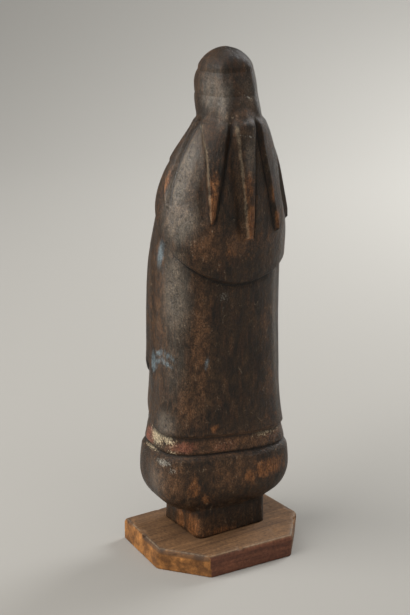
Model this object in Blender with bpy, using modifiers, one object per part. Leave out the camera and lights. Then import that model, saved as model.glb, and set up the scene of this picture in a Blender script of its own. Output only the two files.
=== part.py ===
"""A carved wooden saint on a sawn board, about 28 cm tall.

The figure is one piece of wood: head, hair, cape, mantle, gown, skirt and the block under the skirt.
Its form is written the way a carver works it. A round blank of rings and columns is cut back, ray by
ray from the billet's own centre line, to the sections of the gown, the layers that lie on them, the
arms and the head. The figure faces -Y, its left hand is at +X, and the board's underside is at z = 0.
"""

import math

import bmesh
import bpy
import numpy as np

# Driving sizes, in metres.
FIGURE_HEIGHT = 0.2694
BOARD_THICKNESS = 0.013
BOARD_WIDTH = 0.0924
BOARD_DEPTH = 0.0706
SEAT_GAP = 0.0003
FIGURE_OFF_CENTRE = -0.0011

# The saw cuts that shape the board, in metres and degrees.
LEFT_CORNER_WIDTH = 0.0186
LEFT_CORNER_DEPTH = 0.0270
RIGHT_CORNER_WIDTH = 0.0200
RIGHT_CORNER_DEPTH = 0.0235
LEFT_SIDE_TAPER = 0.0040
RIGHT_SIDE_TAPER = 0.0016
BACK_TAPER = 0.0030
SAW_LEAN_DEGREES = 4.0
BOARD_EDGE_WEAR = 0.0008

# The figure's proportions are in parts, with this many to its height. One part is about a millimetre.
HEIGHT_PARTS = 269.4
PART = FIGURE_HEIGHT / HEIGHT_PARTS

# The blank: columns round it, rings up it, and how many of them lie on its underside and over the crown.
BLANK_COLUMNS = 256
BLANK_RINGS = 340
UNDERSIDE_RINGS = 6
CROWN_RINGS = 42
CUTTING_PASSES = 22
FIGURE_TRIANGLES = 8800

# Heights in parts above the block's underside.
SKIRT_BOTTOM = 11.5
SKIRT_FULL = 36.0
LOWER_HEM = 49.8
MANTLE_HEM = 60.0
CAPE_HEM = 147.0
NECK_GROOVE = 232.0
HEAD_CENTRE = 250.0

# Sections of the figure: height, half-width, reach to the back, reach to the front, squareness of the back,
# squareness of the front, and how far the centre line lies behind the billet's axis.
SECTIONS = np.array([
    (0.0, 40.2, 25.4, 26.0, 3.4, 3.6, -6.5),
    (36.0, 40.6, 25.6, 26.0, 3.4, 3.6, -6.5),
    (47.0, 39.4, 24.6, 25.8, 3.3, 3.5, -6.5),
    (60.0, 36.9, 23.0, 25.4, 3.0, 3.4, -6.3),
    (78.0, 34.9, 21.5, 25.4, 2.8, 3.2, -6.0),
    (100.0, 34.2, 20.6, 25.2, 2.7, 3.1, -5.5),
    (128.0, 34.2, 20.4, 24.6, 2.6, 3.0, -5.0),
    (146.0, 34.4, 21.2, 23.4, 2.5, 2.9, -4.6),
    (160.0, 34.6, 22.8, 22.0, 2.4, 2.8, -4.2),
    (176.0, 34.4, 25.4, 21.0, 2.3, 2.6, -3.4),
    (190.0, 32.6, 26.0, 19.6, 2.2, 2.5, -2.4),
    (202.0, 29.8, 25.2, 17.8, 2.15, 2.4, -1.2),
    (212.0, 26.3, 24.0, 15.2, 2.1, 2.3, 0.3),
    (221.0, 21.8, 22.6, 12.2, 2.1, 2.1, 1.7),
    (229.0, 17.4, 21.8, 9.0, 2.1, 2.0, 2.8),
    (236.0, 13.8, 19.6, 7.6, 2.0, 2.0, 3.2),
    (246.0, 10.0, 12.0, 6.0, 2.0, 2.0, 3.2),
    (272.0, 6.0, 8.0, 5.0, 2.0, 2.0, 3.2),
])
BLANK_RADIUS = 1.4 * SECTIONS[:, 1].max()
TWIST_DEGREES = 6.0
TWIST_FADES = (80.0, 175.0)

# The block under the skirt, its middle seen from the billet's axis.
BLOCK_HALF_WIDTH = 22.8
BLOCK_HALF_DEPTH = 18.8
BLOCK_CENTRE = (0.0, -6.5)
BLOCK_CORNER = 4.0

# Head, hood of hair and face.
HEAD_HALF_WIDTH = 15.2
HEAD_BACK = 17.8
HEAD_FRONT = 15.6
HEAD_RISE = HEIGHT_PARTS - HEAD_CENTRE
NAPE_FLARE = 7.0
TIER_LEDGES = (233.5, 246.0, 257.5)
TIER_BULGE = 0.6
TIER_FADE = 0.75
TIER_FADE_MIDDLE = -60.0
HAIR_THICKNESS = 1.3
HEAD_PLANES = ((69.0, 15.3, 0.13), (10.0, 16.0, 0.24), (-50.0, 16.9, 0.2))
FACE_HALF_WIDTH = 10.4
FACE_HALF_HEIGHT = 14.4
FACE_MIDDLE = 249.2

# Locks of hair: bearing where the lock leaves the neck, bearing and height of its tip, how soon it swings
# from one to the other, half-width at the tip, the half-widths that a straight and a sudden taper add at the
# neck, and 1 where the sloped flank is on the figure's left or -1 on its right. Bearings and widths are in
# degrees.
LOCKS = (
    (103.5, 81.3, 189.5, 0.8, 1.4, 11.0, 0.0, 1.0),
    (53.0, 39.6, 182.0, 4.4, 1.7, 12.0, 12.0, 1.0),
    (7.5, -2.6, 171.5, 1.15, 4.1, 8.4, 3.0, 1.0),
    (-33.5, -41.0, 173.0, 1.1, 1.6, 19.8, 0.0, -1.0),
    (-66.0, -69.0, 176.0, 0.8, 1.4, 10.5, 1.0, -1.0),
    (-99.0, -101.0, 188.0, 0.7, 1.4, 11.0, 1.0, -1.0),
    (-131.0, -124.0, 193.0, 0.7, 1.4, 12.0, 1.0, -1.0),
    (134.0, 121.0, 192.0, 0.7, 1.4, 12.0, 1.0, 1.0),
)
LOCK_TOP = 232.5
LOCK_HEIGHT = 1.8
LOCK_FLANK = 0.7
LOCK_CREASE = 0.5
LOCK_HOLLOW = 1.2

# Cape, mantle and hems.
CAPE_STEP = 2.3
CAPE_RISE = 35.0
CAPE_MIDDLE = -4.0
MANTLE_STEP = 1.5
MANTLE_RISE = 26.0
MANTLE_OPENING = 128.0
FALL_STEP = 2.2
FALL_ENDS = (94.0, 101.0)
SKIRT_STEP = 0.9
HEM_TILT = 1.9
HEM_GROOVE = 0.9
GOWN_PLEATS = 1.1


def ease(value, start, end):
    """0 at start and 1 at end, with a smooth run between them."""
    share = np.clip((value - start) / (end - start), 0.0, 1.0)
    return share * share * (3.0 - 2.0 * share)


def through(height, heights, values):
    """A smooth curve through values at heights."""
    slopes = np.gradient(values, heights)
    index = np.clip(np.searchsorted(heights, height) - 1, 0, len(heights) - 2)
    span = heights[index + 1] - heights[index]
    share = np.clip((height - heights[index]) / span, 0.0, 1.0)
    cubed = share**3
    squared = share**2
    return (
        (2.0 * cubed - 3.0 * squared + 1.0) * values[index]
        + (cubed - 2.0 * squared + share) * span * slopes[index]
        + (3.0 * squared - 2.0 * cubed) * values[index + 1]
        + (cubed - squared) * span * slopes[index + 1]
    )


def blend(first, second, width):
    """The union of two forms, with a fillet of about the given width."""
    share = np.clip(0.5 + 0.5 * (second - first) / width, 0.0, 1.0)
    return second + (first - second) * share - width * share * (1.0 - share)


def centre_line(height):
    """How far the billet's centre lies from its axis, towards the back, at a height."""
    return through(height, SECTIONS[:, 0], SECTIONS[:, 6])


def ellipsoid(x, y, z, centre, radii):
    """Distance, roughly, from an ellipsoid's surface."""
    u = (x - centre[0]) / radii[0]
    v = (y - centre[1]) / radii[1]
    w = (z - centre[2]) / radii[2]
    reach = np.sqrt(u * u + v * v + w * w) + 1e-9
    slope = np.sqrt((u / radii[0])**2 + (v / radii[1])**2 + (w / radii[2])**2) + 1e-9
    return reach * (reach - 1.0) / slope


def limb(x, y, z, start, end, start_radius, end_radius):
    """Distance from a round limb that tapers between two points."""
    run = np.subtract(end, start)
    share = ((x - start[0]) * run[0] + (y - start[1]) * run[1] + (z - start[2]) * run[2]) / run.dot(run)
    share = np.clip(share, 0.0, 1.0)
    across = x - start[0] - share * run[0]
    along = y - start[1] - share * run[1]
    rise = z - start[2] - share * run[2]
    gap = np.sqrt(across * across + along * along + rise * rise)
    return gap - start_radius - share * (end_radius - start_radius)


def bearing(x, y, z):
    """Degrees around the billet from the middle of the back, positive towards the figure's left hand."""
    return np.degrees(np.arctan2(x, y - centre_line(z)))


def block(x, y):
    """Distance from the upright sides of the block under the skirt."""
    across = np.abs(x - BLOCK_CENTRE[0]) - BLOCK_HALF_WIDTH + BLOCK_CORNER
    along = np.abs(y - BLOCK_CENTRE[1]) - BLOCK_HALF_DEPTH + BLOCK_CORNER
    outside = np.hypot(np.maximum(across, 0.0), np.maximum(along, 0.0))
    return outside + np.minimum(np.maximum(across, along), 0.0) - BLOCK_CORNER


def robe(x, y, z):
    """Distance from the loft of the sections, measured along the ray from the centre line."""
    half_width, back, front, back_square, front_square, centre = (
        through(z, SECTIONS[:, 0], SECTIONS[:, column]) for column in range(1, 7)
    )
    turn = math.radians(TWIST_DEGREES) * (1.0 - ease(z, *TWIST_FADES))
    across = x * np.cos(turn) - (y - centre) * np.sin(turn)
    along = x * np.sin(turn) + (y - centre) * np.cos(turn)
    depth = np.where(along > 0.0, back, front)
    square = np.where(along > 0.0, back_square, front_square)
    reach = (np.abs(across / half_width)**square + np.abs(along / depth)**square)**(1.0 / square) + 1e-9
    tuck = np.clip((SKIRT_FULL - z) / (SKIRT_FULL - SKIRT_BOTTOM), 0.0, 1.0)
    underside = np.maximum(1.0 - tuck**2.6, 1e-6)**(1.0 / 2.6)
    return np.hypot(x, y - centre) * (1.0 - underside / reach)


def lock_layer(turned, z):
    """Height of the raised locks of hair over the cape, each with one steep and one sloped flank."""
    inside = np.full_like(z, -BLANK_RADIUS)
    hollows = np.zeros_like(z)
    creases = np.zeros_like(z)
    run = np.radians(through(z, SECTIONS[:, 0], SECTIONS[:, 1]))
    for start, tip, tip_height, swing, tip_width, straight, sudden, side in LOCKS:
        up = np.clip((z - tip_height) / (LOCK_TOP - tip_height), 0.0, 1.0)
        middle = tip + (start - tip) * up**swing
        half_width = tip_width + straight * up + sudden * up**5
        slope = (half_width - side * (turned - middle)) * run
        steep = (half_width + side * (turned - middle)) * run
        end = (z - tip_height) * 1.2
        edge = np.minimum(np.minimum(steep, end), slope * np.where(slope > 0.0, LOCK_FLANK, 1.0))
        hollow = np.exp(-((slope + 3.0) / 2.8)**2) * ease(-slope, 0.0, 1.8) * ease(end, -4.0, 6.0)
        hollows = np.maximum(hollows, hollow)
        crease = np.exp(-((steep + 0.9) / 0.8)**2) * ease(slope, 0.0, 1.5) * ease(end, -0.5, 2.0)
        creases = np.maximum(creases, crease)
        inside = np.maximum(inside, edge)
    raised = LOCK_HEIGHT * ease(inside, -0.6, 1.2)
    layer = raised - LOCK_CREASE * creases * (inside < 0.6) - LOCK_HOLLOW * hollows
    return layer * (1.0 - ease(z, LOCK_TOP - 1.0, LOCK_TOP + 6.5))


def cape_layer(turned, z):
    """Height of the rounded cape's lower edge over the mantle."""
    edge = CAPE_HEM + CAPE_RISE * (np.abs(turned - CAPE_MIDDLE) / 100.0)**2.4
    step = CAPE_STEP * ease(z, edge - 1.0, edge + 1.2) * (1.0 - ease(z, edge + 6.0, edge + 46.0))
    return step - 0.5 * np.exp(-((z - edge + 1.6) / 1.5)**2)


def mantle_layer(turned, z):
    """Height of the mantle, with its hanging front borders, over the gown."""
    side = np.abs(turned)
    opening = MANTLE_OPENING + 22.0 * ease(z, 150.0, 200.0) + 2.0 * np.sin(z / 9.0)
    hem = MANTLE_HEM + HEM_TILT * np.sin(np.radians(turned)) + MANTLE_RISE * ease(side, 92.0, 150.0)
    drop = ease(z, hem - 0.8, hem + 1.4)
    spread = ease(side, opening + 1.6, opening - 1.6)
    fall_end = np.where(turned > 0.0, *FALL_ENDS) + 5.0 * np.cos(np.radians(side - 114.0) * 14.0)
    fall = ease(z, fall_end - 0.8, fall_end + 1.0) * (1.0 - ease(z, 150.0, 185.0))
    ripple = 0.75 + 0.25 * np.cos(np.radians(side - 116.0) * 18.0)
    return MANTLE_STEP * drop * spread + FALL_STEP * ripple * fall * spread * ease(side, 101.0, 107.0)


def hem_layer(turned, z):
    """The skirt's shoulder, the grooves of the painted band and the pleats of the gown's front."""
    hem = LOWER_HEM + HEM_TILT * np.sin(np.radians(turned))
    skirt = SKIRT_STEP * (1.0 - ease(z, hem - 3.5, hem - 0.2))
    groove = HEM_GROOVE * np.exp(-((z - hem) / 0.9)**2)
    side = np.abs(turned)
    open_front = ease(side, 112.0, 130.0)
    top_groove = 0.6 * HEM_GROOVE * np.exp(-((z - hem - 11.0) / 1.0)**2) * open_front
    pleats = GOWN_PLEATS * (0.5 + 0.5 * np.cos(np.radians(180.0 - side) * 9.0)) * open_front
    pleats = pleats * ease(z, hem + 11.5, hem + 20.0) * (1.0 - ease(z, 130.0, 150.0))
    return skirt - groove - top_groove - pleats


def head(x, y, z, turned):
    """Distance from the head with its tiered hood of hair, measured from the head's centre."""
    centre = centre_line(z)
    down = ease(z, HEAD_CENTRE, NECK_GROOVE - 4.0)
    above = np.maximum(z - HEAD_CENTRE, 0.0) / HEAD_RISE
    below = np.maximum(TIER_LEDGES[0] - z, 0.0) / 4.0
    back = HEAD_BACK + NAPE_FLARE * down
    front = HEAD_FRONT - 6.0 * ease(z, HEAD_CENTRE - 4.0, TIER_LEDGES[0] - 2.0)
    depth = np.where(y > centre, back, front)
    reach = (np.abs(x / (HEAD_HALF_WIDTH + 0.8 * down))**2.3 + np.abs((y - centre) / depth)**2.3)**(1.0 / 2.3)
    reach = np.sqrt(reach**2 + above**2 + below**2) + 1e-9
    size = np.sqrt(x**2 + (y - centre)**2 + np.maximum(z - HEAD_CENTRE, 0.0)**2)
    tier = np.zeros_like(z)
    for low, high in zip(TIER_LEDGES, TIER_LEDGES[1:]):
        share = np.clip((z - low) / (high - low), 0.0, 1.0)
        tier += TIER_BULGE * np.sqrt(np.maximum(np.sin(share * math.pi), 0.0))
    ledge = TIER_LEDGES[-1]
    tier += TIER_BULGE * ease(z, ledge, ledge + 3.0) * (1.0 - ease(z, ledge + 3.0, ledge + 12.0))
    hood = size * (1.0 - 1.0 / reach)
    for facing, distance, spread in HEAD_PLANES:
        across = x * math.sin(math.radians(facing)) + (y - centre) * math.cos(math.radians(facing))
        hood = -blend(-hood, distance + spread * (TIER_LEDGES[1] - z) - across, 1.4)
    oval = np.sqrt((x / FACE_HALF_WIDTH)**2 + ((z - FACE_MIDDLE) / FACE_HALF_HEIGHT)**2)
    hair = np.where(y < centre, ease(oval, 0.92, 1.08), 1.0)
    tier = tier * np.where(np.abs(turned) > 90.0, hair, 1.0)
    tier = tier * (1.0 - TIER_FADE * ease(np.abs(turned - TIER_FADE_MIDDLE), 65.0, 25.0))
    return hood - tier - HAIR_THICKNESS * (hair - 1.0)


def face(x, y, z):
    """Distance from the face: a calm mask on an even plan, eyes half way up and the nose a third long."""
    side = np.abs(x)
    middle = FACE_MIDDLE
    mask = ellipsoid(x, y, z, (0.0, -2.4, middle + 2.0), (10.2, 11.6, 15.6))
    cheek = ellipsoid(side, y, z, (4.6, -6.8, middle - 2.6), (4.9, 6.2, 6.2))
    jaw = ellipsoid(x, y, z, (0.0, -4.4, middle - 8.4), (7.0, 8.2, 6.4))
    form = blend(blend(mask, jaw, 3.5), cheek, 3.0)
    socket = ellipsoid(side, y, z, (4.4, -14.9, middle + 1.6), (3.4, 3.2, 2.5))
    form = -blend(-form, socket, 1.4)
    brow = limb(side, y, z, (1.9, -12.7, middle + 4.4), (6.9, -10.3, middle + 3.9), 0.9, 0.5)
    ball = ellipsoid(side, y, z, (4.3, -10.6, middle + 1.3), (2.7, 2.2, 1.7))
    lid = limb(side, y, z, (2.3, -12.2, middle + 0.9), (6.3, -11.3, middle + 0.8), 0.5, 0.4)
    bridge = limb(x, y, z, (0.0, -12.5, middle + 4.2), (0.0, -14.8, middle - 3.2), 0.95, 1.3)
    wings = ellipsoid(side, y, z, (1.2, -13.3, middle - 3.7), (1.2, 1.5, 1.0))
    muzzle = ellipsoid(x, y, z, (0.0, -10.2, middle - 7.4), (3.8, 3.1, 3.6))
    upper_lip = limb(side, y, z, (0.0, -13.3, middle - 6.9), (3.0, -12.1, middle - 7.6), 0.7, 0.35)
    lower_lip = limb(side, y, z, (0.0, -13.1, middle - 8.6), (2.3, -12.3, middle - 8.3), 0.8, 0.5)
    chin = ellipsoid(x, y, z, (0.0, -10.2, middle - 11.9), (3.1, 2.7, 2.2))
    throat = limb(x, y, z, (0.0, -2.6, middle - 9.0), (0.0, -2.6, middle - 24.0), 6.2, 6.9)
    features = ((brow, 1.8), (ball, 0.5), (lid, 0.2), (muzzle, 2.0), (bridge, 1.3), (wings, 0.7))
    for feature, fillet in features + ((upper_lip, 0.3), (lower_lip, 0.3), (chin, 2.0), (throat, 1.6)):
        form = blend(form, feature, fillet)
    return form


def arms(x, y, z):
    """Distance from the sleeves and the hands, which are joined palm to palm before the chest."""
    side = np.abs(x)
    sleeve = limb(side, y, z, (27.6, -12.6, 164.0), (8.6, -25.6, 178.0), 7.0, 4.8)
    hanging = limb(side, y, z, (21.0, -19.4, 156.0), (11.4, -24.8, 169.0), 4.4, 4.6)
    fold = limb(side, y, z, (22.0, -22.6, 162.0), (9.6, -27.6, 174.0), 1.8, 1.8)
    sleeve = blend(blend(sleeve, hanging, 3.0), fold, 1.8)
    mouth = limb(side, y, z, (5.6, -27.8, 178.6), (9.6, -26.4, 166.0), 2.9, 1.6)
    sleeve = -blend(-sleeve, mouth, 0.8)
    wrist = limb(side, y, z, (7.6, -26.0, 177.0), (2.7, -27.4, 184.5), 3.0, 2.6)
    palm = ellipsoid(side, y, z, (2.1, -27.2, 188.0), (2.4, 3.8, 6.4))
    fingers = limb(side, y, z, (1.8, -27.8, 190.0), (1.2, -24.4, 202.5), 2.3, 1.1)
    thumb = limb(side, y, z, (2.8, -24.6, 187.0), (1.9, -22.8, 196.0), 1.4, 1.0)
    web = limb(x, y, z, (0.0, -22.6, 186.0), (0.0, -18.6, 204.0), 3.0, 1.4)
    hands = blend(blend(blend(palm, fingers, 1.0), thumb, 0.6), wrist, 1.4)
    return blend(blend(sleeve, hands, 0.4), web, 1.6)


def figure_form(x, y, z):
    """Distance from the carved surface, in parts: positive outside the wood."""
    turned = bearing(x, y, z)
    layers = lock_layer(turned, z) + cape_layer(turned, z) + mantle_layer(turned, z) + hem_layer(turned, z)
    clothed = robe(x, y, z) - layers * ease(z, 24.0, 44.0)
    clothed = np.where(z < HEAD_CENTRE - 4.0, clothed, BLANK_RADIUS)
    form = blend(clothed, arms(x, y, z), 2.0)
    crown = blend(head(x, y, z, turned), face(x, y, z), 0.8)
    form = blend(form, crown, 1.2)
    below_skirt = np.where(z < SKIRT_FULL, block(x, y), BLANK_RADIUS)
    return blend(form, below_skirt, 3.0)


def cut_blank(points):
    """Move a round blank's points along their rays, level up to the head and fanned out over its crown."""
    ring = np.round(np.arccos(np.clip(-points[:, 2], -1.0, 1.0)) / math.pi * BLANK_RINGS)
    turn = np.arctan2(points[:, 0], points[:, 1])
    crown = BLANK_RINGS - CROWN_RINGS
    share = np.clip((ring - UNDERSIDE_RINGS) / (crown - UNDERSIDE_RINGS), 0.0, 1.0)
    rise = np.clip((ring - crown) / CROWN_RINGS, 0.0, 1.0) * math.pi / 2.0
    height = share * HEAD_CENTRE
    centre = centre_line(height)
    out_x = np.sin(turn) * np.cos(rise)
    out_y = np.cos(turn) * np.cos(rise)
    out_z = np.sin(rise)
    reach = np.full(len(points), BLANK_RADIUS)
    for _ in range(CUTTING_PASSES):
        x = reach * out_x
        y = centre + reach * out_y
        z = height + reach * out_z
        reach = np.maximum(reach - 0.85 * figure_form(x, y, z), 0.5)
    reach = reach * np.clip(ring / UNDERSIDE_RINGS, 0.0, 1.0)
    return np.stack([reach * out_x, centre + reach * out_y, height + reach * out_z], axis=1)


def new_material(name, colour, roughness):
    """A Principled material of one colour and roughness."""
    material = bpy.data.materials.new(name)
    material.use_nodes = True
    shader = material.node_tree.nodes["Principled BSDF"]
    shader.inputs["Base Color"].default_value = (*colour, 1.0)
    shader.inputs["Roughness"].default_value = roughness
    shader.inputs["Metallic"].default_value = 0.0
    return material


def place(model, name, collection, material, location):
    """An object of its own for a bmesh, in its collection and finish."""
    bmesh.ops.recalc_face_normals(model, faces=model.faces)
    mesh = bpy.data.meshes.new(name)
    model.to_mesh(mesh)
    model.free()
    piece = bpy.data.objects.new(name, mesh)
    collection.objects.link(piece)
    mesh.materials.append(material)
    piece.location = location
    mesh.shade_smooth()
    mesh.set_sharp_from_angle(angle=math.radians(40.0))
    return piece


def build_figure(collection):
    """The carved saint, thinned from the cut blank to the triangles it may have."""
    blank = bmesh.new()
    bmesh.ops.create_uvsphere(blank, u_segments=BLANK_COLUMNS, v_segments=BLANK_RINGS, radius=1.0)
    points = np.array([vertex.co for vertex in blank.verts])
    carved = cut_blank(points) * PART
    for vertex, point in zip(blank.verts, carved):
        vertex.co = point
    bmesh.ops.triangulate(blank, faces=blank.faces)
    triangles = len(blank.faces)
    wood = new_material("waxed_dark_wood", (0.055, 0.035, 0.024), 0.48)
    seat = BOARD_THICKNESS + SEAT_GAP
    figure = place(blank, "saint_figure", collection, wood, (FIGURE_OFF_CENTRE, 0.0, seat))
    thinning = figure.modifiers.new("thinned", "DECIMATE")
    thinning.ratio = FIGURE_TRIANGLES / triangles
    return figure


def saw(model, point, across, lean):
    """Cut a plank along a plane through a point: across points out of the waste, and lean tilts the cut."""
    outward = (across[0], across[1], -math.sin(math.radians(lean)) * math.hypot(*across))
    geometry = model.verts[:] + model.edges[:] + model.faces[:]
    cut = bmesh.ops.bisect_plane(model, geom=geometry, plane_co=point, plane_no=outward, clear_outer=True)
    edges = [item for item in cut["geom_cut"] if isinstance(item, bmesh.types.BMEdge)]
    bmesh.ops.holes_fill(model, edges=edges, sides=0)


def build_board(collection):
    """The sawn board, with its two back corners cut off and its worn edges."""
    plank = bmesh.new()
    bmesh.ops.create_cube(plank, size=1.0)
    bmesh.ops.scale(plank, vec=(BOARD_WIDTH, BOARD_DEPTH, BOARD_THICKNESS), verts=plank.verts)
    bmesh.ops.translate(plank, vec=(0.0, 0.0, BOARD_THICKNESS / 2.0), verts=plank.verts)
    half_width = BOARD_WIDTH / 2.0
    half_depth = BOARD_DEPTH / 2.0
    left_end = half_depth - LEFT_CORNER_DEPTH
    right_end = half_depth - RIGHT_CORNER_DEPTH
    top = BOARD_THICKNESS
    back_run = BOARD_WIDTH - LEFT_CORNER_WIDTH - RIGHT_CORNER_WIDTH
    back_left = (half_width - LEFT_CORNER_WIDTH, half_depth - BACK_TAPER, top)
    saw(plank, back_left, (BACK_TAPER, back_run), 0.0)
    saw(plank, (half_width, left_end, top), (half_depth + left_end, -LEFT_SIDE_TAPER), 0.0)
    saw(plank, (-half_width, right_end, top), (-half_depth - right_end, -RIGHT_SIDE_TAPER), 0.0)
    saw(plank, back_left, (LEFT_CORNER_DEPTH - BACK_TAPER, LEFT_CORNER_WIDTH), SAW_LEAN_DEGREES)
    back_right = (RIGHT_CORNER_WIDTH - half_width, half_depth, top)
    saw(plank, back_right, (-RIGHT_CORNER_DEPTH, RIGHT_CORNER_WIDTH), SAW_LEAN_DEGREES)
    bmesh.ops.remove_doubles(plank, verts=plank.verts, dist=0.0001)
    pine = new_material("sawn_pine_board", (0.26, 0.16, 0.085), 0.72)
    board = place(plank, "base_board", collection, pine, (0.0, 0.0, 0.0))
    wear = board.modifiers.new("worn_edges", "BEVEL")
    wear.width = BOARD_EDGE_WEAR
    wear.segments = 2
    wear.limit_method = "ANGLE"
    return board


def main():
    """Clear the scene and build the figure on its board."""
    for item in list(bpy.data.objects):
        bpy.data.objects.remove(item, do_unlink=True)
    collection = bpy.data.collections.new("wooden_saint_statue")
    bpy.context.scene.collection.children.link(collection)
    build_board(collection)
    build_figure(collection)


main()
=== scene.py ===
"""The looks of a carved and painted wooden saint that stands on a small sawn board.

The saint is cut from a fine round blank, as its plain solid is, and finished as an old carving that was
painted, waxed and handled for years. The board is sawn from a plank and worn along its edges.
Lengths are in metres. The carving's own sizes are in parts, and one part is about a millimetre.
"""

import logging
import math
from collections.abc import Callable
from dataclasses import dataclass, field
from enum import Enum

import bmesh
import bpy
import numpy as np
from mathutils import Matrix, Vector


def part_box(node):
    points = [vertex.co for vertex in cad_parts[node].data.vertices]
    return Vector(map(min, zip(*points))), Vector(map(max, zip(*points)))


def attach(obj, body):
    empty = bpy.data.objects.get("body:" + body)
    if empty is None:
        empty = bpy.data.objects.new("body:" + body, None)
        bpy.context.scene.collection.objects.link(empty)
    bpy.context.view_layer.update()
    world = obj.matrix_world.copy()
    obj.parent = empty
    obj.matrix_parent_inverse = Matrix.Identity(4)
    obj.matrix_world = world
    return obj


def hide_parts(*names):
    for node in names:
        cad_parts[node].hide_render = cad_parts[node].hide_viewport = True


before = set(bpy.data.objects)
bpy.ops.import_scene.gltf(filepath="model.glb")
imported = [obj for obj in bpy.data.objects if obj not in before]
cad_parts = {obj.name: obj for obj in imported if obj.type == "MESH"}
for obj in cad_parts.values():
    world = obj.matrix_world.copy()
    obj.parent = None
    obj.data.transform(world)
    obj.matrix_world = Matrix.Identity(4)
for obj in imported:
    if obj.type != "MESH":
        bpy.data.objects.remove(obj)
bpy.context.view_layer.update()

log = logging.getLogger("wooden_saint_statue")
Array = np.ndarray
Point = tuple[float, float, float]
MILLIMETRE = 0.001
FAR_AWAY = 60.0
Planes = list[tuple[Array, Array]]
Tree = bpy.types.NodeTree
Socket = bpy.types.NodeSocket
Sockets = dict[str, Socket]


def ease(value: Array, start: Array | float, end: Array | float) -> Array:
    """Run smoothly from 0 to 1.

    Args:
        value: What is measured.
        start: Where the run begins.
        end: Where the run ends.

    Returns:
        0 at start, 1 at end and a smooth run between them.
    """
    share = np.clip((value - start) / (end - start), 0.0, 1.0)
    return share * share * (3.0 - 2.0 * share)


def close_to(value: Array, middle: float | Array, width: float) -> Array:
    """Give 1 where a value is at the middle, falling smoothly to almost 0 at two widths from it."""
    return np.exp(-(((value - middle) / width) ** 2))


def through(height: Array, heights: Array, values: Array) -> Array:
    """Draw a smooth curve through values at heights.

    Args:
        height: The heights to read the curve at.
        heights: The heights of the curve's points.
        values: The values at those points.

    Returns:
        The curve's value at each height.
    """
    slopes = np.gradient(values, heights)
    index = np.clip(np.searchsorted(heights, height) - 1, 0, len(heights) - 2)
    span = heights[index + 1] - heights[index]
    share = np.clip((height - heights[index]) / span, 0.0, 1.0)
    cubed = share**3
    squared = share**2
    return (
        (2.0 * cubed - 3.0 * squared + 1.0) * values[index]
        + (cubed - 2.0 * squared + share) * span * slopes[index]
        + (3.0 * squared - 2.0 * cubed) * values[index + 1]
        + (cubed - squared) * span * slopes[index + 1]
    )


def blend(first: Array, second: Array, width: float) -> Array:
    """Join two forms with a fillet.

    Args:
        first: Distances from the first form.
        second: Distances from the second form.
        width: Width of the fillet between them.

    Returns:
        Distances from the joined form.
    """
    share = np.clip(0.5 + 0.5 * (second - first) / width, 0.0, 1.0)
    return second + (first - second) * share - width * share * (1.0 - share)


def ellipsoid(x: Array, y: Array, z: Array, centre: Point, radii: Point) -> Array:
    """Measure roughly how far points are from an ellipsoid.

    Args:
        x: The points' places across.
        y: The points' places along.
        z: The points' heights.
        centre: The ellipsoid's centre.
        radii: Its three radii.

    Returns:
        Distances, positive outside.
    """
    u = (x - centre[0]) / radii[0]
    v = (y - centre[1]) / radii[1]
    w = (z - centre[2]) / radii[2]
    reach = np.sqrt(u * u + v * v + w * w) + 1e-9
    slope = np.sqrt((u / radii[0]) ** 2 + (v / radii[1]) ** 2 + (w / radii[2]) ** 2) + 1e-9
    return reach * (reach - 1.0) / slope


def limb(x: Array, y: Array, z: Array, start: Point, end: Point, thick: float, thin: float) -> Array:
    """Measure how far points are from a round limb that tapers.

    Args:
        x: The points' places across.
        y: The points' places along.
        z: The points' heights.
        start: Centre of the limb's first end.
        end: Centre of its other end.
        thick: Radius at the first end.
        thin: Radius at the other end.

    Returns:
        Distances, positive outside.
    """
    run = np.subtract(end, start)
    share = ((x - start[0]) * run[0] + (y - start[1]) * run[1] + (z - start[2]) * run[2]) / run.dot(run)
    share = np.clip(share, 0.0, 1.0)
    across = x - start[0] - share * run[0]
    along = y - start[1] - share * run[1]
    rise = z - start[2] - share * run[2]
    return np.sqrt(across * across + along * along + rise * rise) - thick - share * (thin - thick)


def measured_where(near: Array, measure: Callable[..., Array], *places: Array) -> Array:
    """Measure a form only near it, which saves most of the work.

    Args:
        near: Which points are near the form.
        measure: Gives distances from the form.
        *places: What it needs of each point.

    Returns:
        The distances, with a far one for every other point.
    """
    away = np.full(len(near), FAR_AWAY)
    if near.any():
        away[near] = measure(*(place[near] for place in places))
    return away


def uneven(x: Array, y: Array, z: Array, seed: int) -> Array:
    """Give smooth unevenness with one swell to each unit of length.

    Args:
        x: The points' places across, divided by the width of a swell.
        y: The points' places along, divided by the length of a swell.
        z: The points' heights, divided by the height of a swell.
        seed: Number of the pattern.

    Returns:
        Values from -1 to 1.
    """
    size = 32
    lattice = np.random.default_rng(seed).uniform(-1.0, 1.0, (size, size, size))
    whole = [np.floor(part).astype(int) for part in (x, y, z)]
    share = [part - base for part, base in zip((x, y, z), whole)]
    share = [part * part * (3.0 - 2.0 * part) for part in share]
    total = np.zeros_like(x)
    for corner in range(8):
        steps = (corner & 1, corner >> 1 & 1, corner >> 2 & 1)
        places = [(base + step) % size for base, step in zip(whole, steps)]
        weights = [part if step else 1.0 - part for part, step in zip(share, steps)]
        total += lattice[places[0], places[1], places[2]] * weights[0] * weights[1] * weights[2]
    return total


@dataclass(frozen=True)
class Lock:
    """A pointed lock of hair. Bearings and widths are in degrees, heights in parts."""

    neck_bearing: float
    tip_bearing: float
    tip_height: float
    swing: float
    tip_width: float
    straight_taper: float
    sudden_taper: float
    sloped_side: float


@dataclass(frozen=True)
class HeadPlane:
    """A flat that the carver left on the hood of hair: where it faces, how far out it lies and its flare."""

    facing: float
    distance: float
    spread: float


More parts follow.
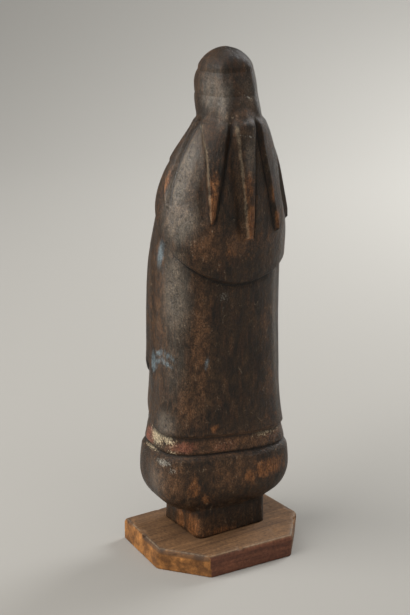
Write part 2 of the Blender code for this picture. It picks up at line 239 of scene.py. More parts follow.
LOCKS = (
    Lock(103.5, 81.3, 189.5, 0.8, 1.4, 11.0, 0.0, 1.0),
    Lock(53.0, 39.6, 182.0, 4.4, 1.7, 12.0, 12.0, 1.0),
    Lock(7.5, -2.6, 171.5, 1.15, 4.1, 8.4, 3.0, 1.0),
    Lock(-33.5, -41.0, 173.0, 1.1, 1.6, 19.8, 0.0, -1.0),
    Lock(-66.0, -69.0, 176.0, 0.8, 1.4, 10.5, 1.0, -1.0),
    Lock(-99.0, -101.0, 188.0, 0.7, 1.4, 11.0, 1.0, -1.0),
    Lock(-131.0, -124.0, 193.0, 0.7, 1.4, 12.0, 1.0, -1.0),
    Lock(134.0, 121.0, 192.0, 0.7, 1.4, 12.0, 1.0, 1.0),
)
HEAD_PLANES = (HeadPlane(69.0, 15.3, 0.13), HeadPlane(10.0, 16.0, 0.24), HeadPlane(-50.0, 16.9, 0.2))

# Sections of the figure: height, half-width, reach to the back, reach to the front, squareness of the back,
# squareness of the front, and how far the centre line lies behind the billet's axis.
SECTIONS = np.array(
    [
        (0.0, 40.2, 25.4, 26.0, 3.4, 3.6, -6.5),
        (36.0, 40.6, 25.6, 26.0, 3.4, 3.6, -6.5),
        (47.0, 39.4, 24.6, 25.8, 3.3, 3.5, -6.5),
        (60.0, 36.9, 23.0, 25.4, 3.0, 3.4, -6.3),
        (78.0, 34.9, 21.5, 25.4, 2.8, 3.2, -6.0),
        (100.0, 34.2, 20.6, 25.2, 2.7, 3.1, -5.5),
        (128.0, 34.2, 20.4, 24.6, 2.6, 3.0, -5.0),
        (146.0, 34.4, 21.2, 23.4, 2.5, 2.9, -4.6),
        (160.0, 34.6, 22.8, 22.0, 2.4, 2.8, -4.2),
        (176.0, 34.4, 25.4, 21.0, 2.3, 2.6, -3.4),
        (190.0, 32.6, 26.0, 19.6, 2.2, 2.5, -2.4),
        (202.0, 29.8, 25.2, 17.8, 2.15, 2.4, -1.2),
        (212.0, 26.3, 24.0, 15.2, 2.1, 2.3, 0.3),
        (221.0, 21.8, 22.6, 12.2, 2.1, 2.1, 1.7),
        (229.0, 17.4, 21.8, 9.0, 2.1, 2.0, 2.8),
        (236.0, 13.8, 19.6, 7.6, 2.0, 2.0, 3.2),
        (246.0, 10.0, 12.0, 6.0, 2.0, 2.0, 3.2),
        (272.0, 6.0, 8.0, 5.0, 2.0, 2.0, 3.2),
    ]
)


@dataclass(frozen=True)
class LockLines:
    """How far points are inside the locks, and how much hollow, dark crease and lit ridge lies at each."""

    inside: Array
    hollows: Array
    creases: Array
    ridges: Array


@dataclass(frozen=True)
class SaintForm:
    """The carved shape, as distances from its surface in parts. The figure faces -Y, its left is +X."""

    height: float = 269.4
    head_centre: float = 250.0
    neck_groove: float = 232.0
    cape_hem: float = 147.0
    mantle_hem: float = 60.0
    lower_hem: float = 49.8
    skirt_full: float = 36.0
    skirt_bottom: float = 11.5
    twist_degrees: float = 6.0
    twist_fades: tuple[float, float] = (80.0, 175.0)
    block_half_width: float = 22.8
    block_half_depth: float = 18.8
    block_centre: tuple[float, float] = (0.0, -6.5)
    block_corner: float = 4.0
    head_half_width: float = 15.2
    head_back: float = 17.8
    head_front: float = 15.6
    nape_flare: float = 7.0
    tier_ledges: tuple[float, ...] = (233.5, 246.0, 257.5)
    tier_fade: float = 0.75
    tier_fade_middle: float = -60.0
    tier_bulge: float = 0.6
    hair_thickness: float = 1.3
    face_half_width: float = 10.4
    face_half_height: float = 14.4
    face_middle: float = 249.2
    lock_top: float = 232.5
    lock_height: float = 1.8
    lock_flank: float = 0.7
    lock_crease: float = 0.5
    lock_hollow: float = 1.2
    cape_step: float = 2.3
    cape_rise: float = 35.0
    cape_middle: float = -4.0
    cape_left: float = 100.0
    cape_right: float = 112.0
    mantle_step: float = 1.5
    mantle_rise: float = 26.0
    mantle_opening: float = 128.0
    fall_step: float = 2.2
    fall_ends: tuple[float, float] = (94.0, 101.0)
    skirt_step: float = 0.9
    hem_tilt: float = 1.9
    hem_groove: float = 0.9
    gown_pleats: float = 1.1

    def centre_line(self, height: Array) -> Array:
        """Give how far behind the billet's axis its centre lies at each height."""
        return through(height, SECTIONS[:, 0], SECTIONS[:, 6])

    def bearing(self, x: Array, y: Array, z: Array) -> Array:
        """Give degrees round from the middle of the back, positive towards the figure's left hand."""
        return np.degrees(np.arctan2(x, y - self.centre_line(z)))

    def arc(self, z: Array) -> Array:
        """Give how many parts one degree is round the figure's side at each height."""
        return np.radians(through(z, SECTIONS[:, 0], SECTIONS[:, 1]))

    def block(self, x: Array, y: Array) -> Array:
        """Measure from the upright sides of the block under the skirt.

        Args:
            x: The points' places across.
            y: The points' places along.

        Returns:
            Distances, positive outside.
        """
        across = np.abs(x - self.block_centre[0]) - self.block_half_width + self.block_corner
        along = np.abs(y - self.block_centre[1]) - self.block_half_depth + self.block_corner
        outside = np.hypot(np.maximum(across, 0.0), np.maximum(along, 0.0))
        return outside + np.minimum(np.maximum(across, along), 0.0) - self.block_corner

    def robe(self, x: Array, y: Array, z: Array) -> Array:
        """Measure along the ray from the centre line to the loft of the sections.

        Args:
            x: The points' places across.
            y: The points' places along.
            z: The points' heights.

        Returns:
            Distances, positive outside.
        """
        half_width, back, front, back_square, front_square, centre = (
            through(z, SECTIONS[:, 0], SECTIONS[:, column]) for column in range(1, 7)
        )
        turn = math.radians(self.twist_degrees) * (1.0 - ease(z, *self.twist_fades))
        across = x * np.cos(turn) - (y - centre) * np.sin(turn)
        along = x * np.sin(turn) + (y - centre) * np.cos(turn)
        depth = np.where(along > 0.0, back, front)
        square = np.where(along > 0.0, back_square, front_square)
        reach = (np.abs(across / half_width) ** square + np.abs(along / depth) ** square) ** (1.0 / square)
        tuck = np.clip((self.skirt_full - z) / (self.skirt_full - self.skirt_bottom), 0.0, 1.0)
        underside = np.maximum(1.0 - tuck**2.6, 1e-6) ** (1.0 / 2.6)
        return np.hypot(x, y - centre) * (1.0 - underside / (reach + 1e-9))

    def lock_lines(self, turned: Array, z: Array) -> LockLines:
        """Find where each point lies on or between the locks.

        Args:
            turned: Bearings of the points.
            z: Their heights.

        Returns:
            The locks' lines at those points.
        """
        lines = LockLines(np.full_like(z, -FAR_AWAY), np.zeros_like(z), np.zeros_like(z), np.zeros_like(z))
        arc = self.arc(z)
        for lock in LOCKS:
            up = np.clip((z - lock.tip_height) / (self.lock_top - lock.tip_height), 0.0, 1.0)
            middle = lock.tip_bearing + (lock.neck_bearing - lock.tip_bearing) * up**lock.swing
            half_width = lock.tip_width + lock.straight_taper * up + lock.sudden_taper * up**5
            slope = (half_width - lock.sloped_side * (turned - middle)) * arc
            steep = (half_width + lock.sloped_side * (turned - middle)) * arc
            end = (z - lock.tip_height) * 1.2
            flank = slope * np.where(slope > 0.0, self.lock_flank, 1.0)
            inside = np.minimum(np.minimum(steep, end), flank)
            hollow = close_to(slope, -3.0, 2.8) * ease(-slope, 0.0, 1.8) * ease(end, -4.0, 6.0)
            crease = close_to(steep, -0.9, 0.8) * ease(slope, 0.0, 1.5) * ease(end, -0.5, 2.0)
            ridge = close_to(slope, 0.8, 1.0) * ease(steep, 0.0, 0.8) * ease(end, 0.0, 2.0)
            lines = LockLines(
                np.maximum(lines.inside, inside),
                np.maximum(lines.hollows, hollow),
                np.maximum(lines.creases, crease),
                np.maximum(lines.ridges, ridge),
            )
        return lines

    def locks(self, turned: Array, z: Array) -> Array:
        """Give the height of the raised locks of hair over the cape.

        Args:
            turned: The points' bearings.
            z: The points' heights.

        Returns:
            How far the locks stand proud, less what is cut in beside them.
        """
        lines = self.lock_lines(turned, z)
        raised = self.lock_height * ease(lines.inside, -0.6, 1.2)
        creases = self.lock_crease * lines.creases * (lines.inside < 0.6)
        layer = raised - creases - self.lock_hollow * lines.hollows
        return layer * (1.0 - ease(z, self.lock_top - 0.5, self.lock_top + 3.5))

    def cape_edge(self, turned: Array) -> Array:
        """Give the height of the rounded cape's lower edge at each bearing."""
        width = np.where(turned < self.cape_middle, self.cape_right, self.cape_left)
        return self.cape_hem + self.cape_rise * (np.abs(turned - self.cape_middle) / width) ** 2.4

    def cape(self, turned: Array, z: Array) -> Array:
        """Give the height of the cape's lower edge over the mantle.

        Args:
            turned: The points' bearings.
            z: The points' heights.

        Returns:
            How far the cape stands proud.
        """
        edge = self.cape_edge(turned)
        step = self.cape_step * ease(z, edge - 1.0, edge + 1.2) * (1.0 - ease(z, edge + 6.0, edge + 46.0))
        return step - 0.5 * close_to(z - edge, -1.6, 1.5)

    def mantle_edge(self, turned: Array) -> Array:
        """Give the height of the mantle's hem at each bearing."""
        rise = self.mantle_rise * ease(np.abs(turned), 92.0, 150.0)
        return self.mantle_hem + self.hem_tilt * np.sin(np.radians(turned)) + rise

    def skirt_edge(self, turned: Array) -> Array:
        """Give the height of the groove above the skirt at each bearing."""
        return self.lower_hem + self.hem_tilt * np.sin(np.radians(turned))

    def mantle(self, turned: Array, z: Array) -> Array:
        """Give the height of the mantle, with its hanging front borders, over the gown.

        Args:
            turned: The points' bearings.
            z: The points' heights.

        Returns:
            How far the mantle stands proud.
        """
        side = np.abs(turned)
        opening = self.mantle_opening + 22.0 * ease(z, 150.0, 200.0) + 2.0 * np.sin(z / 9.0)
        hem = self.mantle_edge(turned)
        drop = ease(z, hem - 0.8, hem + 1.4)
        spread = ease(side, opening + 1.6, opening - 1.6)
        ends = np.where(turned > 0.0, *self.fall_ends) + 5.0 * np.cos(np.radians(side - 114.0) * 14.0)
        fall = ease(z, ends - 0.8, ends + 1.0) * (1.0 - ease(z, 150.0, 185.0))
        ripple = 0.75 + 0.25 * np.cos(np.radians(side - 116.0) * 18.0)
        border = self.fall_step * ripple * fall * spread * ease(side, 101.0, 107.0)
        return self.mantle_step * drop * spread + border

    def hems(self, turned: Array, z: Array) -> Array:
        """Give the skirt's shoulder, the grooves of the painted band and the pleats of the gown's front.

        Args:
            turned: The points' bearings.
            z: The points' heights.

        Returns:
            How far they stand proud, negative where they are cut in.
        """
        hem = self.skirt_edge(turned)
        skirt = self.skirt_step * (1.0 - ease(z, hem - 3.5, hem - 0.2))
        groove = self.hem_groove * close_to(z, hem, 0.9)
        side = np.abs(turned)
        open_front = ease(side, 112.0, 130.0)
        top_groove = 0.6 * self.hem_groove * close_to(z - hem, 11.0, 1.0) * open_front
        pleats = self.gown_pleats * (0.5 + 0.5 * np.cos(np.radians(180.0 - side) * 9.0)) * open_front
        pleats = pleats * ease(z, hem + 11.5, hem + 20.0) * (1.0 - ease(z, 130.0, 150.0))
        return skirt - groove - top_groove - pleats

    def hairline(self, x: Array, z: Array) -> Array:
        """Give how far out a point is on the oval of the face, where 1 is the edge of the hair."""
        across = x / self.face_half_width
        up = (z - self.face_middle) / self.face_half_height
        return np.sqrt(across**2 + up**2)

    def head(self, x: Array, y: Array, z: Array, turned: Array) -> Array:
        """Measure from the head with its tiered hood of hair.

        Args:
            x: The points' places across.
            y: The points' places along.
            z: The points' heights.
            turned: The points' bearings.

        Returns:
            Distances, positive outside.
        """
        centre = self.centre_line(z)
        down = ease(z, self.head_centre, self.neck_groove - 4.0)
        above = np.maximum(z - self.head_centre, 0.0) / (self.height - self.head_centre)
        below = np.maximum(self.tier_ledges[0] - z, 0.0) / 4.0
        back = self.head_back + self.nape_flare * down
        front = self.head_front - 6.0 * ease(z, self.head_centre - 4.0, self.tier_ledges[0] - 2.0)
        depth = np.where(y > centre, back, front)
        across = np.abs(x / (self.head_half_width + 0.8 * down)) ** 2.3
        reach = (across + np.abs((y - centre) / depth) ** 2.3) ** (1.0 / 2.3)
        reach = np.sqrt(reach**2 + above**2 + below**2) + 1e-9
        size = np.sqrt(x**2 + (y - centre) ** 2 + np.maximum(z - self.head_centre, 0.0) ** 2)
        tier = np.zeros_like(z)
        for low, high in zip(self.tier_ledges, self.tier_ledges[1:]):
            share = np.clip((z - low) / (high - low), 0.0, 1.0)
            tier += self.tier_bulge * np.sqrt(np.maximum(np.sin(share * math.pi), 0.0))
        ledge = self.tier_ledges[-1]
        tier += self.tier_bulge * ease(z, ledge, ledge + 3.0) * (1.0 - ease(z, ledge + 3.0, ledge + 12.0))
        hood = size * (1.0 - 1.0 / reach)
        for plane in HEAD_PLANES:
            facing = math.radians(plane.facing)
            out = x * math.sin(facing) + (y - centre) * math.cos(facing)
            hood = -blend(-hood, plane.distance + plane.spread * (self.tier_ledges[1] - z) - out, 1.4)
        hair = np.where(y < centre, ease(self.hairline(x, z), 0.92, 1.08), 1.0)
        tier = tier * np.where(np.abs(turned) > 90.0, hair, 1.0)
        tier = tier * (1.0 - self.tier_fade * ease(np.abs(turned - self.tier_fade_middle), 65.0, 25.0))
        return hood - tier - self.hair_thickness * (hair - 1.0)

    def face(self, x: Array, y: Array, z: Array) -> Array:
        """Measure from a calm mask on an even plan: eyes half way up, and the nose a third long.

        Args:
            x: The points' places across.
            y: The points' places along.
            z: The points' heights.

        Returns:
            Distances, positive outside.
        """
        side = np.abs(x)
        middle = self.face_middle
        mask = ellipsoid(x, y, z, (0.0, -2.4, middle + 2.0), (10.2, 11.6, 15.6))
        cheek = ellipsoid(side, y, z, (4.6, -6.8, middle - 2.6), (4.9, 6.2, 6.2))
        jaw = ellipsoid(x, y, z, (0.0, -4.4, middle - 8.4), (7.0, 8.2, 6.4))
        form = blend(blend(mask, jaw, 3.5), cheek, 3.0)
        socket = ellipsoid(side, y, z, (4.4, -14.9, middle + 1.6), (3.4, 3.2, 2.5))
        form = -blend(-form, socket, 1.4)
        brow = limb(side, y, z, (1.9, -12.7, middle + 4.4), (6.9, -10.3, middle + 3.9), 0.9, 0.5)
        ball = ellipsoid(side, y, z, (4.3, -10.6, middle + 1.3), (2.7, 2.2, 1.7))
        lid = limb(side, y, z, (2.3, -12.2, middle + 0.9), (6.3, -11.3, middle + 0.8), 0.5, 0.4)
        bridge = limb(x, y, z, (0.0, -12.5, middle + 4.2), (0.0, -14.8, middle - 3.2), 0.95, 1.3)
        wings = ellipsoid(side, y, z, (1.2, -13.3, middle - 3.7), (1.2, 1.5, 1.0))
        muzzle = ellipsoid(x, y, z, (0.0, -10.2, middle - 7.4), (3.8, 3.1, 3.6))
        upper_lip = limb(side, y, z, (0.0, -13.3, middle - 6.9), (3.0, -12.1, middle - 7.6), 0.7, 0.35)
        lower_lip = limb(side, y, z, (0.0, -13.1, middle - 8.6), (2.3, -12.3, middle - 8.3), 0.8, 0.5)
        chin = ellipsoid(x, y, z, (0.0, -10.2, middle - 11.9), (3.1, 2.7, 2.2))
        throat = limb(x, y, z, (0.0, -2.6, middle - 9.0), (0.0, -2.6, middle - 24.0), 6.2, 6.9)
        features = ((brow, 1.8), (ball, 0.5), (lid, 0.2), (muzzle, 2.0), (bridge, 1.3), (wings, 0.7))
        for feature, fillet in features + ((upper_lip, 0.3), (lower_lip, 0.3), (chin, 2.0), (throat, 1.6)):
            form = blend(form, feature, fillet)
        return form

    def arms(self, x: Array, y: Array, z: Array) -> Array:
        """Measure from the sleeves and the hands, which are joined palm to palm before the chest.

        Args:
            x: The points' places across.
            y: The points' places along.
            z: The points' heights.

        Returns:
            Distances, positive outside.
        """
        side = np.abs(x)
        sleeve = limb(side, y, z, (27.6, -12.6, 164.0), (8.6, -25.6, 178.0), 7.0, 4.8)
        hanging = limb(side, y, z, (21.0, -19.4, 156.0), (11.4, -24.8, 169.0), 4.4, 4.6)
        fold = limb(side, y, z, (22.0, -22.6, 162.0), (9.6, -27.6, 174.0), 1.8, 1.8)
        sleeve = blend(blend(sleeve, hanging, 3.0), fold, 1.8)
        mouth = limb(side, y, z, (5.6, -27.8, 178.6), (9.6, -26.4, 166.0), 2.9, 1.6)
        sleeve = -blend(-sleeve, mouth, 0.8)
        wrist = limb(side, y, z, (7.6, -26.0, 177.0), (2.7, -27.4, 184.5), 3.0, 2.6)
        palm = ellipsoid(side, y, z, (2.1, -27.2, 188.0), (2.4, 3.8, 6.4))
        fingers = limb(side, y, z, (1.8, -27.8, 190.0), (1.2, -24.4, 202.5), 2.3, 1.1)
        thumb = limb(side, y, z, (2.8, -24.6, 187.0), (1.9, -22.8, 196.0), 1.4, 1.0)
        web = limb(x, y, z, (0.0, -22.6, 186.0), (0.0, -18.6, 204.0), 3.0, 1.4)
        hands = blend(blend(blend(palm, fingers, 1.0), thumb, 0.6), wrist, 1.4)
        return blend(blend(sleeve, hands, 0.4), web, 1.6)

    def clothes(self, x: Array, y: Array, z: Array, turned: Array) -> Array:
        """Measure from the robe with the locks, cape, mantle and hems that lie on it.

        Args:
            x: The points' places across.
            y: The points' places along.
            z: The points' heights.
            turned: The points' bearings.

        Returns:
            Distances, positive outside.
        """
        layers = self.mantle(turned, z) + self.cape(turned, z) + self.hems(turned, z)
        high = z > min(lock.tip_height for lock in LOCKS) - 6.0
        layers[high] += self.locks(turned[high], z[high])
        return self.robe(x, y, z) - layers * ease(z, 24.0, 44.0)

    def distance(self, x: Array, y: Array, z: Array) -> Array:
        """Measure from the whole carved surface, positive outside the wood.

        Args:
            x: The points' places across.
            y: The points' places along.
            z: The points' heights.

        Returns:
            Distances, positive outside.
        """
        turned = self.bearing(x, y, z)
        side = np.abs(turned)
        clothed = measured_where(z < self.head_centre - 4.0, self.clothes, x, y, z, turned)
        arms = measured_where((side > 85.0) & (z > 140.0) & (z < 215.0), self.arms, x, y, z)
        head = measured_where(z > self.neck_groove - 12.0, self.head, x, y, z, turned)
        face = measured_where((side > 70.0) & (z > self.neck_groove - 22.0), self.face, x, y, z)
        form = blend(blend(clothed, arms, 2.0), blend(head, face, 0.8), 1.2)
        return blend(form, measured_where(z < self.skirt_full, self.block, x, y), 3.0)


@dataclass(frozen=True)
class ToolMarks:
    """What the carver's knife and long handling left on the surface, in parts."""

    cut_width: float = 5.2
    cut_length: float = 13.0
    cut_depth: float = 0.16
    swell: float = 0.22
    swell_length: float = 21.0
    ripple: float = 0.10
    ripple_length: float = 6.0
    usual_radius: float = 34.0
    calmest: float = 0.85
    seed: int = 11

    def knife_cuts(self, around: Array, up: Array) -> Array:
        """Give the depth of long shallow cuts that overlap in a loose grid.

        Args:
            around: Places round the figure, in parts.
            up: Heights, in parts.

        Returns:
            Depths, 0 on the ridges between the cuts.
        """
        spread = np.random.default_rng(self.seed).uniform(0.0, 1.0, (64, 64, 3))
        column = np.floor(around / self.cut_width).astype(int)
        row = np.floor(up / self.cut_length).astype(int)
        deepest = np.zeros_like(up)
        for aside in (-1, 0, 1):
            for above in (-1, 0, 1):
                dice = spread[(column + aside) % 64, (row + above) % 64]
                middle_x = (column + aside + 0.2 + 0.6 * dice[:, 0]) * self.cut_width
                middle_z = (row + above + 0.2 + 0.6 * dice[:, 1]) * self.cut_length
                out = ((around - middle_x) / self.cut_width) ** 2 + ((up - middle_z) / self.cut_length) ** 2
                deepest = np.maximum(deepest, (1.0 - out) * (0.5 + 0.5 * dice[:, 2]))
        return self.cut_depth * deepest

    def depth(self, points: Array, turned: Array, calm: Array) -> Array:
        """Give how far the surface is cut in at each point.

        Args:
            points: Points of the surface.
            turned: Their bearings.
            calm: How smooth each place was left, from 0 to 1.

        Returns:
            Depths below the plain form.
        """
        x, y, z = points.T
        marks = self.knife_cuts(np.radians(turned) * self.usual_radius, z)
        for deep, length, upright, seed in (
            (self.swell, self.swell_length, 1.6, self.seed + 1),
            (self.ripple, self.ripple_length, 2.6, self.seed + 2),
        ):
            marks = marks + deep * uneven(x / length, y / length, z / (upright * length), seed)
        return marks * (1.0 - self.calmest * calm)


class Trace(Enum):
    """What the years left on the carving, with painted shade, a painted highlight and a painted sheen among
    them. Each is an attribute of its mesh that the wood's finish reads.
    """

    # Soiling in the cuts together with painted shade in the creases, under the skirt and on the hood's side
    # away from the light.
    SHADE_AND_DIRT = "dirt_and_painted_shade"
    # Wear on the ridges together with a painted highlight on the lock flanks and hems that face the light.
    RUBBED_AND_HIGHLIT = "rubbed_and_highlit_ridges"
    BARE = "bare_worn_wood"
    # Grey bloomed wax together with a painted sheen on the planes that face the key light.
    BLOOM = "wax_bloom_and_painted_sheen"
    BLUE = "blue_paint"
    RED = "red_paint"
    CREAM = "cream_paint"
    PALE = "pale_ground"
    TAN = "thin_brown_patina"


@dataclass(frozen=True)
class Patch:
    """One place where a trace shows: its bearing in degrees, and its height and its two half-sizes in parts.

    The lean moves its upper end aside and the slant lifts its end on the figure's left, both for each part of
    length.
    """

    trace: Trace
    bearing: float
    height: float
    across: float
    up: float
    strength: float = 1.0
    lean: float = 0.0
    slant: float = 0.0


PATCHES = (
    Patch(Trace.BARE, 88.0, 199.0, 2.2, 12.0, 0.7),
    Patch(Trace.BARE, 40.5, 204.0, 3.4, 8.0, 0.6),
    Patch(Trace.BARE, 39.5, 189.0, 3.6, 9.0, 1.25),
    Patch(Trace.BARE, 4.0, 200.0, 3.6, 10.0, 0.7),
    Patch(Trace.BARE, -1.5, 181.0, 4.0, 13.0, 1.0),
    Patch(Trace.BARE, -32.0, 193.0, 1.6, 9.0, 0.5),
    Patch(Trace.BARE, -38.0, 179.0, 2.0, 7.0, 1.0),
    Patch(Trace.BARE, 23.5, 183.8, 3.2, 0.7, 1.0, slant=0.45),
    Patch(Trace.BARE, 21.0, 165.0, 7.0, 6.0, 0.5),
    Patch(Trace.BARE, -6.0, 162.0, 8.0, 5.0, 0.42),
    Patch(Trace.BARE, 33.0, 66.0, 3.0, 3.0, 0.8),
    Patch(Trace.BARE, -42.0, 66.0, 8.0, 2.4, 0.45),
    Patch(Trace.BARE, -33.0, 37.0, 12.0, 6.0, 1.1),
    Patch(Trace.BARE, -12.0, 34.0, 7.0, 5.0, 0.8),
    Patch(Trace.BARE, 52.0, 33.0, 4.0, 8.0, 0.75),
    Patch(Trace.BARE, 42.0, 26.0, 6.0, 5.0, 0.6),
    Patch(Trace.BARE, 27.0, 40.0, 5.0, 5.0, 0.4),
    Patch(Trace.BARE, 64.0, 7.0, 9.0, 8.0, 1.2),
    Patch(Trace.BARE, 90.0, 6.0, 8.0, 8.0, 0.9),
    Patch(Trace.BARE, 20.0, 2.0, 26.0, 3.0, 0.6),
    Patch(Trace.BARE, -150.0, 35.0, 16.0, 8.0, 0.6),
    Patch(Trace.BARE, 160.0, 60.0, 14.0, 5.0, 0.45),
    Patch(Trace.BARE, -100.0, 72.0, 5.0, 16.0, 0.4),
    Patch(Trace.TAN, 72.0, 187.0, 7.0, 10.0, 0.6),
    Patch(Trace.TAN, 50.0, 112.0, 7.0, 46.0, 0.8),
    Patch(Trace.TAN, 94.0, 130.0, 10.0, 60.0, 0.5),
    Patch(Trace.TAN, 60.0, 80.0, 9.0, 16.0, 0.7),
    Patch(Trace.TAN, 42.0, 170.0, 10.0, 12.0, 0.85),
    Patch(Trace.TAN, 12.0, 170.0, 16.0, 9.0, 0.85),
    Patch(Trace.TAN, -30.0, 168.0, 8.0, 9.0, 0.5),
    Patch(Trace.TAN, -40.0, 122.0, 5.0, 12.0, 0.6),
    Patch(Trace.TAN, -45.0, 88.0, 5.0, 12.0, 0.6),
    Patch(Trace.TAN, 5.0, 56.0, 60.0, 7.0, 0.9),
    Patch(Trace.TAN, 70.0, 36.0, 16.0, 14.0, 0.8),
    Patch(Trace.TAN, 5.0, 38.0, 30.0, 13.0, 0.8),
    Patch(Trace.TAN, 60.0, 6.0, 24.0, 8.0, 0.9),
    Patch(Trace.TAN, 180.0, 180.0, 20.0, 40.0, 0.5),
    Patch(Trace.TAN, -90.0, 250.0, 8.0, 14.0, 0.5),
    Patch(Trace.BLUE, 89.5, 163.0, 3.0, 9.0, 0.85, -0.2),
    Patch(Trace.BLUE, 84.0, 155.0, 1.0, 3.0, 0.6, -0.5),
    Patch(Trace.BLUE, 94.0, 106.5, 5.0, 1.1, 1.1, slant=-0.5),
    Patch(Trace.BLUE, 80.0, 107.0, 5.5, 1.1, 1.0, slant=0.45),
    Patch(Trace.BLUE, 83.0, 102.5, 5.5, 1.0, 0.85, slant=0.3),
    Patch(Trace.BLUE, 87.0, 104.5, 3.4, 0.7, 0.7),
    Patch(Trace.BLUE, 95.0, 101.5, 4.5, 1.1, 1.05, slant=-0.5),
    Patch(Trace.BLUE, 97.0, 97.5, 3.0, 0.8, 0.8, slant=-0.6),
    Patch(Trace.BLUE, 103.0, 100.0, 1.6, 7.0, 0.95),
    Patch(Trace.BLUE, 90.0, 104.0, 9.0, 6.0, 0.36),
    Patch(Trace.BLUE, 44.5, 103.0, 1.2, 4.2, 0.8, -0.2),
    Patch(Trace.BLUE, -104.0, 112.0, 7.0, 16.0, 0.5),
    Patch(Trace.BLUE, -88.0, 158.0, 3.0, 8.0, 0.6),
    Patch(Trace.BLUE, 118.0, 130.0, 3.0, 18.0, 0.5),
    Patch(Trace.RED, 104.0, 56.0, 8.0, 6.0, 1.1),
    Patch(Trace.RED, 62.0, 56.0, 11.0, 5.0, 0.8),
    Patch(Trace.RED, 20.0, 55.0, 22.0, 5.0, 0.6),
    Patch(Trace.RED, -40.0, 55.0, 16.0, 5.0, 0.5),
    Patch(Trace.RED, 180.0, 100.0, 15.0, 34.0, 0.55),
    Patch(Trace.RED, -178.0, 100.0, 15.0, 34.0, 0.55),
    Patch(Trace.RED, 15.0, 2.0, 30.0, 2.0, 0.9),
    Patch(Trace.CREAM, 92.0, 59.0, 9.0, 7.0, 1.0),
    Patch(Trace.CREAM, 96.0, 61.0, 3.0, 3.0, 1.1),
    Patch(Trace.CREAM, 77.0, 59.5, 6.0, 3.4, 0.9, slant=0.2),
    Patch(Trace.CREAM, 70.0, 53.0, 7.0, 2.0, 0.6),
    Patch(Trace.CREAM, -35.0, 57.0, 16.0, 2.6, 0.7),
    Patch(Trace.CREAM, 20.0, 56.0, 16.0, 3.0, 0.42),
    Patch(Trace.CREAM, 98.0, 51.0, 10.0, 1.3, 0.85),
    Patch(Trace.CREAM, -120.0, 58.0, 14.0, 4.0, 0.6),
    Patch(Trace.CREAM, 150.0, 55.0, 14.0, 4.0, 0.6),
    Patch(Trace.PALE, 77.0, 47.0, 6.0, 2.2, 0.95, -0.3),
    Patch(Trace.PALE, 68.0, 43.5, 4.0, 2.2, 0.65),
    Patch(Trace.PALE, 24.0, 140.0, 6.5, 4.2, 0.58),
    Patch(Trace.PALE, 26.0, 131.0, 2.0, 9.0, 0.4),
    Patch(Trace.PALE, -25.0, 120.2, 5.0, 0.5, 0.75, slant=-0.3),
    Patch(Trace.PALE, 75.0, 229.0, 4.5, 0.55, 0.9, slant=0.6),
    Patch(Trace.PALE, 82.0, 232.0, 3.0, 0.5, 0.8, slant=0.2),
    Patch(Trace.PALE, 6.0, 227.0, 4.5, 0.5, 0.8, slant=0.3),
    Patch(Trace.PALE, -12.0, 244.5, 3.0, 0.6, 0.75, slant=1.2),
    # Painted shade with some soiling: dark patches between the first two locks, beside the mantle's left
    # border, and on the hood's top and right side away from the light.
    Patch(Trace.SHADE_AND_DIRT, 68.5, 192.7, 0.7, 0.8, 1.1),
    Patch(Trace.SHADE_AND_DIRT, -25.0, 270.0, 13.0, 10.0, 0.75),
    Patch(Trace.SHADE_AND_DIRT, -30.0, 252.0, 7.0, 10.0, 0.3),
    Patch(Trace.SHADE_AND_DIRT, 66.7, 186.3, 0.8, 0.8, 1.2),
    Patch(Trace.SHADE_AND_DIRT, 104.0, 104.0, 2.0, 7.0, 0.5),
    # Painted sheen with some grey bloomed wax: pale patches mostly on the planes that face the key light.
    Patch(Trace.BLOOM, 73.0, 143.0, 8.0, 26.0, 1.1),
    Patch(Trace.BLOOM, 76.0, 203.0, 6.5, 24.0, 1.25),
    Patch(Trace.BLOOM, 60.0, 205.0, 3.0, 20.0, 0.5),
    Patch(Trace.BLOOM, 2.0, 216.0, 3.6, 13.0, 0.6),
    Patch(Trace.BLOOM, 84.5, 200.0, 1.6, 14.0, 0.9),
    Patch(Trace.BLOOM, 68.0, 183.0, 9.0, 12.0, 1.2),
    Patch(Trace.BLOOM, 74.0, 104.0, 8.0, 28.0, 0.45),
    Patch(Trace.BLOOM, 80.0, 68.0, 7.0, 8.0, 0.8),
    Patch(Trace.BLOOM, 61.0, 247.0, 5.0, 13.0, 0.8),
    Patch(Trace.BLOOM, 40.0, 244.0, 3.0, 12.0, 0.9),
    Patch(Trace.BLOOM, 84.0, 36.0, 10.0, 12.0, 0.5),
    Patch(Trace.BLOOM, -54.0, 120.0, 3.0, 60.0, 0.6),
    Patch(Trace.BLOOM, -20.0, 245.0, 6.0, 12.0, 0.35),
)


